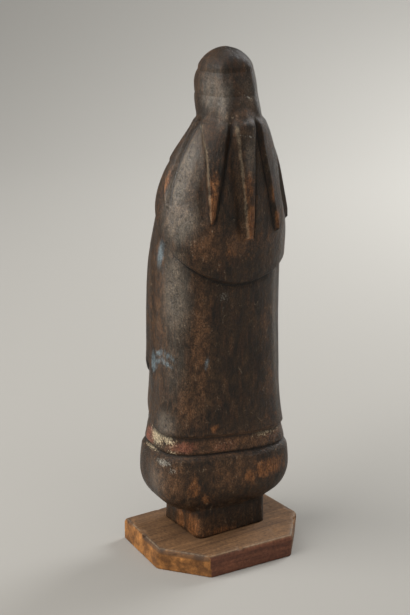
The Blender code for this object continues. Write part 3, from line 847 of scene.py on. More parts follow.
@dataclass(frozen=True)
class Ageing:
    """Where soiling, wear and remains of paint lie on the carving, with painted shade, highlight and sheen.
    """

    form: SaintForm

    def patches(self, turned: Array, z: Array) -> dict[Trace, Array]:
        """Lay all the patches.

        Args:
            turned: The points' bearings.
            z: Their heights.

        Returns:
            For each trace its strength at the points.
        """
        arc = self.form.arc(z)
        found = {trace: np.zeros_like(z) for trace in Trace}
        for patch in PATCHES:
            away = (turned - patch.bearing + 180.0) % 360.0 - 180.0
            up = z - patch.height
            across = away * arc - patch.lean * up
            near = np.exp(-((across / patch.across) ** 2) - ((up - patch.slant * across) / patch.up) ** 2)
            found[patch.trace] = np.maximum(found[patch.trace], patch.strength * near)
        return found

    def folds(self, x: Array, z: Array, turned: Array) -> tuple[Array, Array]:
        """Find the creases that hold soiling and painted shade, and the ridges that hands rub, which carry a
        painted highlight.

        Args:
            x: The points' places across.
            z: Their heights.
            turned: Their bearings.

        Returns:
            How much soiling with painted shade and how much wear with painted highlight lies at each point.
        """
        form = self.form
        side = np.abs(turned)
        lines = form.lock_lines(turned, z)
        below_neck = 1.0 - ease(z, form.lock_top - 1.0, form.lock_top + 1.5)
        cape = z - form.cape_edge(turned)
        mantle = z - form.mantle_edge(turned)
        skirt = z - form.skirt_edge(turned)
        # Soiling in the creases together with painted shade: dark lines on the locks' shaded edges, along the
        # hems, at the neck and the tiers, and under the skirt.
        creases = (
            0.75 * lines.creases * (lines.inside < 0.3) * below_neck,
            close_to(cape, -1.3, 1.1) * (0.2 + 0.6 * ease(z, 175.0, 160.0)),
            0.7 * close_to(mantle, -1.2, 1.1),
            0.8 * close_to(skirt, 0.0, 0.9),
            0.7 * close_to(form.hairline(x, z), 0.98, 0.07) * (side > 110.0) * (z > 232.0),
            0.4 * close_to(z, form.lock_top, 0.9),
            0.6 * (close_to(z, 14.0, 2.5) + 0.8 * close_to(z, 0.0, 0.8)),
        ) + tuple(0.25 * close_to(z, ledge, 0.8) for ledge in form.tier_ledges)
        # Wear with a painted highlight: pale lines on the lock flanks that face the light and along the hems.
        ridges = (
            lines.ridges * below_neck,
            0.35 * close_to(mantle, 1.4, 1.0) * (side < 130.0),
            0.3 * close_to(skirt, -3.0, 1.6),
        )
        return np.maximum.reduce(creases), np.maximum.reduce(ridges)

    def traces(self, points: Array) -> dict[Trace, Array]:
        """Work out every trace at each point.

        Args:
            points: Points of the carved surface, in parts.

        Returns:
            For each trace its strength at the points, about 0 to 1.
        """
        form = self.form
        x, y, z = points.T
        turned = form.bearing(x, y, z)
        side = np.abs(turned)
        found = self.patches(turned, z)
        dirt_and_shade_mask, rubbed_and_lit = self.folds(x, z, turned)
        # The soiling with painted shade from the creases joins the dark patches.
        found[Trace.SHADE_AND_DIRT] = np.maximum(found[Trace.SHADE_AND_DIRT], dirt_and_shade_mask)
        # Wear with a painted highlight on the ridges.
        found[Trace.RUBBED_AND_HIGHLIT] = rubbed_and_lit
        below_neck = 1.0 - ease(z, form.lock_top - 1.0, form.lock_top + 1.5)
        on_lock = ease(form.lock_lines(turned, z).inside, -0.2, 0.8) * below_neck
        bare = found[Trace.BARE]
        among_locks = (z > 168.0) & (z < form.lock_top) & (side < 95.0)
        found[Trace.BARE] = np.where(among_locks, bare * (0.25 + 0.85 * on_lock), bare)
        mantle = z - form.mantle_edge(turned)
        skirt = z - form.skirt_edge(turned)
        under_mantle = ease(mantle, 0.4, -0.8)
        red = found[Trace.RED]
        found[Trace.RED] = np.where(side < 130.0, red * ease(skirt, -0.4, 0.8) * under_mantle, red)
        cream = found[Trace.CREAM]
        found[Trace.CREAM] = np.where(skirt > -0.8, cream * under_mantle, cream)
        return found


def linear(hex_colour: str) -> tuple[float, float, float, float]:
    """Turn an sRGB hex colour, such as "#8a5a2c", to linear light with full alpha.

    Args:
        hex_colour: The colour.

    Returns:
        Red, green, blue and alpha.
    """
    values = [int(hex_colour[place : place + 2], 16) / 255.0 for place in (1, 3, 5)]
    red, green, blue = (v / 12.92 if v <= 0.04045 else ((v + 0.055) / 1.055) ** 2.4 for v in values)
    return (red, green, blue, 1.0)


def add_node(
    tree: Tree, kind: str, inputs: dict[str | int, object] | None = None, **settings: object
) -> bpy.types.Node:
    """Add a node with its settings and links.

    Args:
        tree: The material's node tree.
        kind: The node's type.
        inputs: For each socket's name or number, a value to set or a socket to link from.
        **settings: Properties of the node.

    Returns:
        The new node.
    """
    made = tree.nodes.new(kind)
    for name, value in settings.items():
        setattr(made, name, value)
    for socket, value in (inputs or {}).items():
        if isinstance(value, Socket):
            tree.links.new(value, made.inputs[socket])
        else:
            made.inputs[socket].default_value = value
    return made


def start_material(name: str) -> tuple[bpy.types.Material, Tree, bpy.types.Node]:
    """Start a material with its Principled shader.

    Args:
        name: The material's name.

    Returns:
        The material, its node tree and its shader.
    """
    material = bpy.data.materials.new(name)
    material.use_nodes = True
    tree = material.node_tree
    return material, tree, tree.nodes["Principled BSDF"]


def lay_over(tree: Tree, under: Socket, coats: tuple[tuple[str, Socket], ...]) -> Socket:
    """Lay coats of colour over each other.

    Args:
        tree: The material's node tree.
        under: The colour that the coats go over.
        coats: For each coat its hex colour and how much of it shows.

    Returns:
        The colour after the last coat.
    """
    colour = under
    for hex_colour, shows in coats:
        values = {0: shows, 6: colour, 7: linear(hex_colour)}
        colour = add_node(tree, "ShaderNodeMix", values, data_type="RGBA").outputs[2]
    return colour


@dataclass(frozen=True)
class Cover:
    """How a trace covers the wood.

    A pattern breaks it up by the breakup. It starts to show at the first strength, and after the run beyond
    that it shows its most.
    """

    pattern: str
    breakup: float
    first: float
    run: float
    most: float


# The covers of the bloomed wax, the worn ridges and the dark patches also carry a painted sheen, a painted
# highlight and painted shade.
COVERS = {
    Trace.TAN: Cover("scuffs", 0.5, 0.1, 1.0, 0.6),
    Trace.BLOOM: Cover("fibres", 0.3, 0.0, 1.1, 0.55),
    Trace.BARE: Cover("scuffs", 0.6, 0.22, 0.6, 0.9),
    Trace.RUBBED_AND_HIGHLIT: Cover("scuffs", 0.9, 0.4, 0.6, 0.42),
    Trace.RED: Cover("flakes", 0.7, 0.35, 0.5, 0.8),
    Trace.CREAM: Cover("flakes", 1.4, 0.55, 0.3, 0.85),
    Trace.PALE: Cover("specks", 1.2, 0.5, 0.3, 0.7),
    Trace.BLUE: Cover("flakes", 0.35, 0.15, 0.6, 0.6),
    Trace.SHADE_AND_DIRT: Cover("scuffs", 0.7, 0.12, 0.8, 0.85),
}


@dataclass(frozen=True)
class WaxedCarvedWood:
    """Knife-carved hardwood under old paint and many coats of darkened wax.

    It gives the eye a nearly black brown with a soft grey sheen on the planes that face the light, partly
    painted into the colour, fine upright grain, orange-brown bare wood where hands wore it, soiling and
    painted shade in the cuts, a painted highlight along lit ridges and flakes of old paint.
    """

    dark: str = "#221910"
    middle: str = "#42301f"
    warm: str = "#654128"
    tan: str = "#7b5639"
    # Colour of soiling in the crackle, and of soiling with painted shade in the recesses.
    dirt_and_shade: str = "#0d0a07"
    # Pale colour of worn ridges, partly a painted highlight on the lit flanks.
    rubbed_and_lit: str = "#84745e"
    bare_dark: str = "#583118"
    bare_light: str = "#98653a"
    # Grey of bloomed wax, partly a painted sheen on the lit planes.
    bloom_and_sheen: str = "#7f7465"
    blue: str = "#758890"
    red: str = "#7d4a38"
    cream: str = "#cbb998"
    pale: str = "#8f8c82"
    scratch: str = "#8a7a66"
    roughness: float = 0.41
    wax_polish: float = 0.2
    crackle_size: float = 1.5
    crackle_stretch: float = 1.7

    def patterns(self, tree: Tree) -> Sockets:
        """Make the patterns that break up the colours, each with its size and its stretch along the grain.

        Args:
            tree: The material's node tree.

        Returns:
            The patterns' values, about 0 to 1.
        """
        place = add_node(tree, "ShaderNodeTexCoord").outputs["Object"]
        made = {}
        for name, size, stretch, detail, rough in (
            ("fibres", 0.45, 12.0, 4.0, 0.65),
            ("streaks", 2.0, 6.0, 5.0, 0.65),
            ("clouds", 9.0, 1.8, 6.0, 0.62),
            ("scuffs", 3.0, 1.6, 7.0, 0.7),
            ("flakes", 0.8, 1.3, 5.0, 0.68),
            ("specks", 0.6, 1.4, 4.0, 0.75),
            ("wisps", 7.0, 1.5, 2.5, 0.5),
        ):
            across = 1.0 / (size * MILLIMETRE)
            scale = (across, across, across / stretch)
            placed = add_node(tree, "ShaderNodeMapping", {"Vector": place, "Scale": scale}).outputs[0]
            values = {"Vector": placed, "Scale": 1.0, "Detail": detail, "Roughness": rough}
            made[name] = add_node(tree, "ShaderNodeTexNoise", values).outputs["Fac"]
        across = 1.0 / (self.crackle_size * MILLIMETRE)
        scale = (across, across, across / self.crackle_stretch)
        placed = add_node(tree, "ShaderNodeMapping", {"Vector": place, "Scale": scale}).outputs[0]
        crackle = add_node(
            tree, "ShaderNodeTexVoronoi", {"Vector": placed, "Scale": 1.0}, feature="DISTANCE_TO_EDGE"
        )
        made["crackle"] = crackle.outputs["Distance"]
        return made

    def covers(self, tree: Tree, patterns: Sockets) -> dict[Trace, Socket]:
        """Break the edges of each trace and say how much of it shows.

        Args:
            tree: The material's node tree.
            patterns: The patterns that break them up.

        Returns:
            How much of each trace shows, from 0 to 1.
        """
        shown = {}
        for trace, cover in COVERS.items():
            strength = add_node(tree, "ShaderNodeAttribute", attribute_name=trace.value).outputs["Fac"]
            pattern = patterns[cover.pattern]
            centred = add_node(tree, "ShaderNodeMath", {0: pattern, 1: 0.5}, operation="SUBTRACT").outputs[0]
            values = {0: centred, 1: 2.0 * cover.breakup, 2: strength}
            broken = add_node(tree, "ShaderNodeMath", values, operation="MULTIPLY_ADD").outputs[0]
            full = cover.first + cover.run
            values = {"Value": broken, "From Min": cover.first, "From Max": full, "To Max": cover.most}
            limit = add_node(tree, "ShaderNodeMapRange", values, interpolation_type="SMOOTHSTEP").outputs[0]
            values = {"Value": strength, "From Min": 0.02, "From Max": 0.25}
            gate = add_node(tree, "ShaderNodeMapRange", values, interpolation_type="SMOOTHSTEP").outputs[0]
            both = add_node(tree, "ShaderNodeMath", {0: limit, 1: gate}, operation="MULTIPLY")
            shown[trace] = both.outputs[0]
        return shown

    def lines(self, tree: Tree, patterns: Sockets) -> tuple[Socket, ...]:
        """Draw hairline scratches and fine crackle, both only here and there.

        Args:
            tree: The material's node tree.
            patterns: The patterns that they are drawn from.

        Returns:
            How much of the scratches and of the crackle shows.
        """
        centred = add_node(tree, "ShaderNodeMath", {0: patterns["wisps"], 1: 0.5}, operation="SUBTRACT")
        away = add_node(tree, "ShaderNodeMath", {0: centred.outputs[0]}, operation="ABSOLUTE").outputs[0]
        drawn = []
        for value, width, gate, first, most in (
            (away, 0.007, patterns["scuffs"], 0.5, 0.65),
            (patterns["crackle"], 0.07, patterns["clouds"], 0.44, 0.75),
        ):
            values = {"Value": value, "From Max": width, "To Min": most, "To Max": 0.0}
            line = add_node(tree, "ShaderNodeMapRange", values).outputs[0]
            values = {"Value": gate, "From Min": first, "From Max": first + 0.12}
            here = add_node(tree, "ShaderNodeMapRange", values, interpolation_type="SMOOTHSTEP").outputs[0]
            both = add_node(tree, "ShaderNodeMath", {0: line, 1: here}, operation="MULTIPLY")
            drawn.append(both.outputs[0])
        return tuple(drawn)

    def shades(self, tree: Tree, patterns: Sockets) -> Sockets:
        """Turn patterns to what the colours and the gloss need, from a least to a most.

        Args:
            tree: The material's node tree.
            patterns: The patterns.

        Returns:
            The values by what they are for.
        """
        made = {}
        for name, pattern, first, last, least, most in (
            ("patina", "clouds", 0.36, 0.66, 0.0, 1.0),
            ("warmed", "streaks", 0.42, 0.72, 0.0, 0.4),
            ("grained", "fibres", 0.3, 0.7, 0.0, 1.0),
            ("speckled", "specks", 0.34, 0.66, 0.45, 1.65),
            ("mottled", "scuffs", 0.36, 0.64, 0.6, 1.35),
            ("gloss", "scuffs", 0.3, 0.7, self.roughness - 0.08, self.roughness + 0.12),
        ):
            values = {"Value": patterns[pattern], "From Min": first, "From Max": last}
            values |= {"To Min": least, "To Max": most}
            ranged = add_node(tree, "ShaderNodeMapRange", values, interpolation_type="SMOOTHSTEP")
            made[name] = ranged.outputs[0]
        return made

    def colour(
        self, tree: Tree, shades: Sockets, shown: dict[Trace, Socket], lines: tuple[Socket, ...]
    ) -> Socket:
        """Lay the patina, the bare wood, the remains of paint, the painted highlight and sheen, and the
        soiling with painted shade over each other.

        Args:
            tree: The material's node tree.
            shades: What the patterns give.
            shown: How much of each trace shows.
            lines: How much of the scratches and of the crackle shows.

        Returns:
            The colour of the surface.
        """
        scratches, crackle = lines
        ground, worn = (
            add_node(
                tree, "ShaderNodeMix", {0: shades[share], 6: linear(first), 7: linear(last)}, data_type="RGBA"
            ).outputs[2]
            for share, first, last in (
                ("patina", self.dark, self.middle),
                ("grained", self.bare_dark, self.bare_light),
            )
        )
        waxed = (
            (self.warm, shades["warmed"]),
            (self.tan, shown[Trace.TAN]),
            # Grey bloomed wax with a painted sheen on the lit planes.
            (self.bloom_and_sheen, shown[Trace.BLOOM]),
            (self.dirt_and_shade, crackle),
        )
        painted = (
            # Worn ridges with a painted highlight.
            (self.rubbed_and_lit, shown[Trace.RUBBED_AND_HIGHLIT]),
            (self.red, shown[Trace.RED]),
            (self.cream, shown[Trace.CREAM]),
            (self.pale, shown[Trace.PALE]),
            (self.blue, shown[Trace.BLUE]),
            (self.scratch, scratches),
            # Soiling with painted shade in the recesses and creases.
            (self.dirt_and_shade, shown[Trace.SHADE_AND_DIRT]),
        )
        values = {0: shown[Trace.BARE], 6: lay_over(tree, ground, waxed), 7: worn}
        colour = lay_over(tree, add_node(tree, "ShaderNodeMix", values, data_type="RGBA").outputs[2], painted)
        for shade in ("speckled", "mottled"):
            values = {0: 1.0, 6: colour, 7: shades[shade]}
            mixed = add_node(tree, "ShaderNodeMix", values, data_type="RGBA", blend_type="MULTIPLY")
            colour = mixed.outputs[2]
        return colour

    def make(self) -> bpy.types.Material:
        """Make the material with its grain, wear, soiling, paint and painted shade, highlight and sheen,
        glossier where the wax bloomed and the sheen is painted.

        Returns:
            The finished material.
        """
        material, tree, shader = start_material("waxed_carved_hardwood")
        patterns = self.patterns(tree)
        shades = self.shades(tree, patterns)
        shown = self.covers(tree, patterns)
        colour = self.colour(tree, shades, shown, self.lines(tree, patterns))
        tree.links.new(colour, shader.inputs["Base Color"])
        values = {0: shown[Trace.BLOOM], 1: -self.wax_polish, 2: shades["gloss"]}
        polished = add_node(tree, "ShaderNodeMath", values, operation="MULTIPLY_ADD")
        tree.links.new(polished.outputs[0], shader.inputs["Roughness"])
        values = {"Value": shown[Trace.BLOOM], "From Max": 0.5, "To Min": 0.36, "To Max": 0.85}
        sheen = add_node(tree, "ShaderNodeMapRange", values)
        tree.links.new(sheen.outputs[0], shader.inputs["Specular IOR Level"])
        shader.inputs["IOR"].default_value = 1.5
        normal = {}
        for pattern, strength, depth in (
            ("fibres", 0.8, 0.0004),
            ("scuffs", 0.7, 0.001),
            ("specks", 0.8, 0.0004),
        ):
            values = {"Height": patterns[pattern], "Strength": strength, "Distance": depth}
            normal["Normal"] = add_node(tree, "ShaderNodeBump", values | normal).outputs["Normal"]
        tree.links.new(normal["Normal"], shader.inputs["Normal"])
        return material


@dataclass(frozen=True)
class SawnPine:
    """Softwood plank, sawn and left bare, gone grey-brown on top and orange at the cut ends.

    It gives the eye long growth lines on the top and back, a dense bright end grain, saw marks and dull
    edges.
    """

    top: str = "#7d5b3b"
    top_dark: str = "#553b24"
    long_side: str = "#7a4a33"
    long_side_dark: str = "#5a3324"
    end: str = "#b87c40"
    end_dark: str = "#744a22"
    stain: str = "#3a2f27"
    edge: str = "#8f785e"
    ring: float = 2.6
    roughness: float = 0.7

    def patterns(self, tree: Tree) -> Sockets:
        """Make the patterns of the plank, each with its size along, across and through it.

        Args:
            tree: The material's node tree.

        Returns:
            The patterns' values, about 0 to 1.
        """
        place = add_node(tree, "ShaderNodeTexCoord").outputs["Object"]
        ring = self.ring
        made = {}
        for name, sizes, detail, rough in (
            ("lines", (26.0 * ring, ring, ring / 1.3), 5.0, 0.6),
            ("fibres", (6.0 * ring, ring / 4.0, ring / 4.0), 3.0, 0.6),
            ("blotches", (11.0, 11.0, 11.0), 5.0, 0.6),
            ("spots", (1.6, 1.6, 1.6), 5.0, 0.65),
        ):
            scale = tuple(1.0 / (size * MILLIMETRE) for size in sizes)
            placed = add_node(tree, "ShaderNodeMapping", {"Vector": place, "Scale": scale}).outputs[0]
            values = {"Vector": placed, "Scale": 1.0, "Detail": detail, "Roughness": rough}
            made[name] = add_node(tree, "ShaderNodeTexNoise", values).outputs["Fac"]
        return made

    def shades(self, tree: Tree, patterns: Sockets) -> Sockets:
        """Turn the patterns to what the colours need, and break up the stains and the worn edges.

        Args:
            tree: The material's node tree.
            patterns: The patterns.

        Returns:
            The values by what they are for.
        """
        made = {}
        for name, pattern, first, last, least, most, run in (
            ("lined", "lines", 0.28, 0.74, 0.0, 1.0, "SMOOTHSTEP"),
            ("blotched", "blotches", 0.36, 0.66, 0.0, 1.0, "SMOOTHSTEP"),
            ("dusted", "spots", 0.3, 0.7, 0.62, 1.4, "LINEAR"),
            ("clouded", "blotches", 0.3, 0.7, 0.8, 1.2, "LINEAR"),
        ):
            values = {"Value": patterns[pattern], "From Min": first, "From Max": last}
            values |= {"To Min": least, "To Max": most}
            made[name] = add_node(tree, "ShaderNodeMapRange", values, interpolation_type=run).outputs[0]
        for name in ("stained", "worn_edge"):
            mark = add_node(tree, "ShaderNodeAttribute", attribute_name=name).outputs["Fac"]
            values = {0: patterns["spots"], 1: 0.9, 2: mark}
            broken = add_node(tree, "ShaderNodeMath", values, operation="MULTIPLY_ADD").outputs[0]
            values = {"Value": broken, "From Min": 0.75, "From Max": 1.3, "To Max": 0.7}
            ranged = add_node(tree, "ShaderNodeMapRange", values, interpolation_type="SMOOTHSTEP")
            made[name] = ranged.outputs[0]
        return made

    def make(self) -> bpy.types.Material:
        """Make the material, which tells the ends, the long sides and the top apart by attributes.

        Returns:
            The finished material.
        """
        material, tree, shader = start_material("sawn_bare_pine")
        patterns = self.patterns(tree)
        shades = self.shades(tree, patterns)
        colour = None
        for face, shade, dark, light in (
            ("top", "lined", self.top_dark, self.top),
            ("long_side", "lined", self.long_side_dark, self.long_side),
            ("end_grain", "blotched", self.end_dark, self.end),
        ):
            values = {0: shades[shade], 6: linear(dark), 7: linear(light)}
            wood = add_node(tree, "ShaderNodeMix", values, data_type="RGBA").outputs[2]
            if colour is None:
                colour = wood
                continue
            mask = add_node(tree, "ShaderNodeAttribute", attribute_name=face).outputs["Fac"]
            values = {0: mask, 6: colour, 7: wood}
            colour = add_node(tree, "ShaderNodeMix", values, data_type="RGBA").outputs[2]
        for shade in ("dusted", "clouded"):
            values = {0: 1.0, 6: colour, 7: shades[shade]}
            mixed = add_node(tree, "ShaderNodeMix", values, data_type="RGBA", blend_type="MULTIPLY")
            colour = mixed.outputs[2]
        marks = ((self.stain, shades["stained"]), (self.edge, shades["worn_edge"]))
        tree.links.new(lay_over(tree, colour, marks), shader.inputs["Base Color"])
        shader.inputs["Roughness"].default_value = self.roughness
        shader.inputs["IOR"].default_value = 1.48
        normal = {}
        for pattern, strength, depth in (("lines", 0.35, 0.0004), ("fibres", 0.5, 0.0003)):
            values = {"Height": patterns[pattern], "Strength": strength, "Distance": depth}
            normal["Normal"] = add_node(tree, "ShaderNodeBump", values | normal).outputs["Normal"]
        tree.links.new(normal["Normal"], shader.inputs["Normal"])
        return material


@dataclass(frozen=True)
class StudioPaper:
    """Matt seamless studio paper: an even pale grey with no gloss."""

    colour: str = "#a6a39e"

    def make(self) -> bpy.types.Material:
        """Make the material, with a faint unevenness in its tone.

        Returns:
            The finished material.
        """
        material, tree, shader = start_material("matt_studio_paper")
        place = add_node(tree, "ShaderNodeTexCoord").outputs["Object"]
        cloudy = add_node(tree, "ShaderNodeTexNoise", {"Vector": place, "Scale": 1.3, "Detail": 1.0})
        values = {"Value": cloudy.outputs["Fac"], "To Min": 0.96, "To Max": 1.04}
        tone = add_node(tree, "ShaderNodeMapRange", values).outputs[0]
        values = {0: 1.0, 6: linear(self.colour), 7: tone}
        tinted = add_node(tree, "ShaderNodeMix", values, data_type="RGBA", blend_type="MULTIPLY")
        tree.links.new(tinted.outputs[2], shader.inputs["Base Color"])
        shader.inputs["Roughness"].default_value = 0.95
        shader.inputs["Specular IOR Level"].default_value = 0.1
        return material


def settle(piece: bpy.types.Object) -> bpy.types.Object:
    """Apply a piece's modifiers, so that its mesh is what is shown.

    Args:
        piece: The piece.

    Returns:
        The same piece with no modifiers.
    """
    shown = piece.evaluated_get(bpy.context.evaluated_depsgraph_get())
    mesh = bpy.data.meshes.new_from_object(shown)
    piece.modifiers.clear()
    piece.data = mesh
    mesh.name = piece.name
    return piece


def add_piece(model: bmesh.types.BMesh, name: str) -> bpy.types.Object:
    """Make an object of a bmesh and free it.

    Args:
        model: The bmesh.
        name: The object's name.

    Returns:
        The object, in the scene.
    """
    mesh = bpy.data.meshes.new(name)
    model.to_mesh(mesh)
    model.free()
    piece = bpy.data.objects.new(name, mesh)
    bpy.context.scene.collection.objects.link(piece)
    return piece


def read_points(mesh: bpy.types.Mesh) -> Array:
    """Read a mesh's points as rows of x, y and z.

    Args:
        mesh: The mesh.

    Returns:
        The points.
    """
    points = np.empty(len(mesh.vertices) * 3)
    mesh.vertices.foreach_get("co", points)
    return points.reshape(-1, 3)


def write_points(mesh: bpy.types.Mesh, points: Array) -> None:
    """Put a mesh's points at rows of x, y and z."""
    mesh.vertices.foreach_set("co", points.astype(np.float32).ravel())
    mesh.update()


def write_mark(mesh: bpy.types.Mesh, name: str, values: Array) -> None:
    """Keep a value at each point of a mesh, as an attribute that a material reads."""
    mark = mesh.attributes.new(name, "FLOAT", "POINT")
    mark.data.foreach_set("value", np.clip(values, 0.0, 1.5).astype(np.float32))


@dataclass
class CarvedSaint:
    """The saint with the block under its skirt, one billet of wood."""

    node: str = "saint_figure"
    off_centre: float = -0.0011
    columns: int = 144
    rings: int = 196
    halvings: int = 2
    underside_share: float = 6.0 / 340.0
    crown_share: float = 42.0 / 340.0
    triangles: int = 194000
    rough_rows: int = 191
    rough_steps: int = 140
    rough_passes: int = 20
    fine_passes: int = 9
    rough_margin: float = 0.6
    bite: float = 0.85
    close_enough: float = 0.004
    form: SaintForm = field(default_factory=SaintForm)
    marks: ToolMarks = field(default_factory=ToolMarks)
    finish: WaxedCarvedWood = field(default_factory=WaxedCarvedWood)

    def rays(self, up: Array, turn: Array) -> tuple[Array, Array, Array]:
        """Aim the rays along which the blank is cut.

        Args:
            up: How far up the blank each ray is, from 0 to 1.
            turn: Angle of each ray round the billet.

        Returns:
            The starting heights, the starting places behind the axis, and the directions.
        """
        top = 1.0 - self.crown_share
        share = np.clip((up - self.underside_share) / (top - self.underside_share), 0.0, 1.0)
        rise = np.clip((up - top) / self.crown_share, 0.0, 1.0) * math.pi / 2.0
        height = share * self.form.head_centre
        out = np.stack([np.sin(turn) * np.cos(rise), np.cos(turn) * np.cos(rise), np.sin(rise)], axis=1)
        return height, self.form.centre_line(height), out

    def cut(self, up: Array, turn: Array, reach: Array, passes: int) -> Array:
        """Cut along rays until the carved surface is met.

        Args:
            up: How far up the blank each ray is, from 0 to 1.
            turn: Angle of each ray round the billet.
            reach: How far out the cutting starts on each ray.
            passes: How many cuts are made.

        Returns:
            How far out the surface lies on each ray.
        """
        height, centre, out = self.rays(up, turn)
        reach = reach.copy()
        left = np.arange(len(reach))
        for _ in range(passes):
            far = reach[left]
            aim = out[left]
            across, along, rise = (far * aim[:, axis] for axis in range(3))
            away = self.form.distance(across, centre[left] + along, height[left] + rise)
            reach[left] = np.maximum(far - self.bite * away, 0.5)
            left = left[np.abs(away) > self.close_enough]
        return reach

    def rough_out(self, up: Array, turn: Array) -> Array:
        """Cut a coarse grid of rays first and read a start for every fine ray from it.

        Args:
            up: How far up the blank each fine ray is.
            turn: Angle of each fine ray.

        Returns:
            Where the fine cutting starts, a little outside the surface.
        """
        rows, steps = self.rough_rows, self.rough_steps
        grid_up, grid_turn = np.meshgrid(
            np.linspace(0.0, 1.0, rows), np.arange(steps) / steps * 2.0 * math.pi, indexing="ij"
        )
        start = np.full(rows * steps, FAR_AWAY)
        coarse = self.cut(grid_up.ravel(), grid_turn.ravel(), start, self.rough_passes).reshape(rows, steps)
        row = np.clip(up * (rows - 1), 0.0, rows - 1.001)
        column = (turn / (2.0 * math.pi)) % 1.0 * steps
        low, left = np.floor(row).astype(int), np.floor(column).astype(int)
        corners = [coarse[low + down, (left + aside) % steps] for down in (0, 1) for aside in (0, 1)]
        return np.maximum.reduce(corners) + self.rough_margin

    def carve(self, blank: Array) -> Array:
        """Carve the saint out of a round blank and leave the tool marks, but fewer on the face and hands.

        Args:
            blank: Points of the blank, all round its middle.

        Returns:
            Where each point comes to lie, in parts.
        """
        blank = blank / np.linalg.norm(blank, axis=1, keepdims=True)
        up = np.arccos(np.clip(-blank[:, 2], -1.0, 1.0)) / math.pi
        turn = np.arctan2(blank[:, 0], blank[:, 1])
        reach = self.cut(up, turn, self.rough_out(up, turn), self.fine_passes)
        height, centre, out = self.rays(up, turn)
        start = np.stack([np.zeros_like(height), centre, height], axis=1)
        surface = start + reach[:, None] * out
        turned = self.form.bearing(*surface.T)
        on_face = (self.form.hairline(surface[:, 0], surface[:, 2]) < 1.1) & (np.abs(turned) > 100.0)
        on_hands = (np.abs(turned) > 120.0) & (surface[:, 2] > 150.0)
        calm = np.clip(on_face.astype(float) + on_hands + ease(surface[:, 2], 4.0, 0.0), 0.0, 1.0)
        reach = reach - self.marks.depth(surface, turned, calm)
        reach = reach * np.clip(up / self.underside_share, 0.0, 1.0)
        return start + reach[:, None] * out

    def build(self) -> bpy.types.Object:
        """Cut, thin and dress the saint.

        Returns:
            The finished piece.
        """
        blank = bmesh.new()
        bmesh.ops.create_uvsphere(blank, u_segments=self.columns, v_segments=self.rings, radius=1.0)
        saint = add_piece(blank, "carved_saint")
        finer = saint.modifiers.new("finer", "SUBSURF")
        finer.subdivision_type = "SIMPLE"
        finer.levels = finer.render_levels = self.halvings
        settle(saint)
        low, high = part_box(self.node)
        part = (high.z - low.z) / self.form.height
        foot = np.array([self.off_centre, 0.0, low.z])
        write_points(saint.data, self.carve(read_points(saint.data)) * part + foot)
        saint.modifiers.new("triangles", "TRIANGULATE")
        settle(saint)
        thinning = saint.modifiers.new("thinned", "DECIMATE")
        thinning.ratio = min(1.0, self.triangles / len(saint.data.polygons))
        settle(saint)
        saint.data.shade_smooth()
        places = (read_points(saint.data) - foot) / part
        for trace, values in Ageing(self.form).traces(places).items():
            write_mark(saint.data, trace.value, values)
        saint.data.materials.append(self.finish.make())
        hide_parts(self.node)
        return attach(saint, "root")


@dataclass(frozen=True)
class SawCut:
    """A face of the board: a point on its top arris, the direction that it faces, its lean and its grain."""

    point: tuple[float, float]
    facing: tuple[float, float]
    lean_degrees: float
    end_grain: float


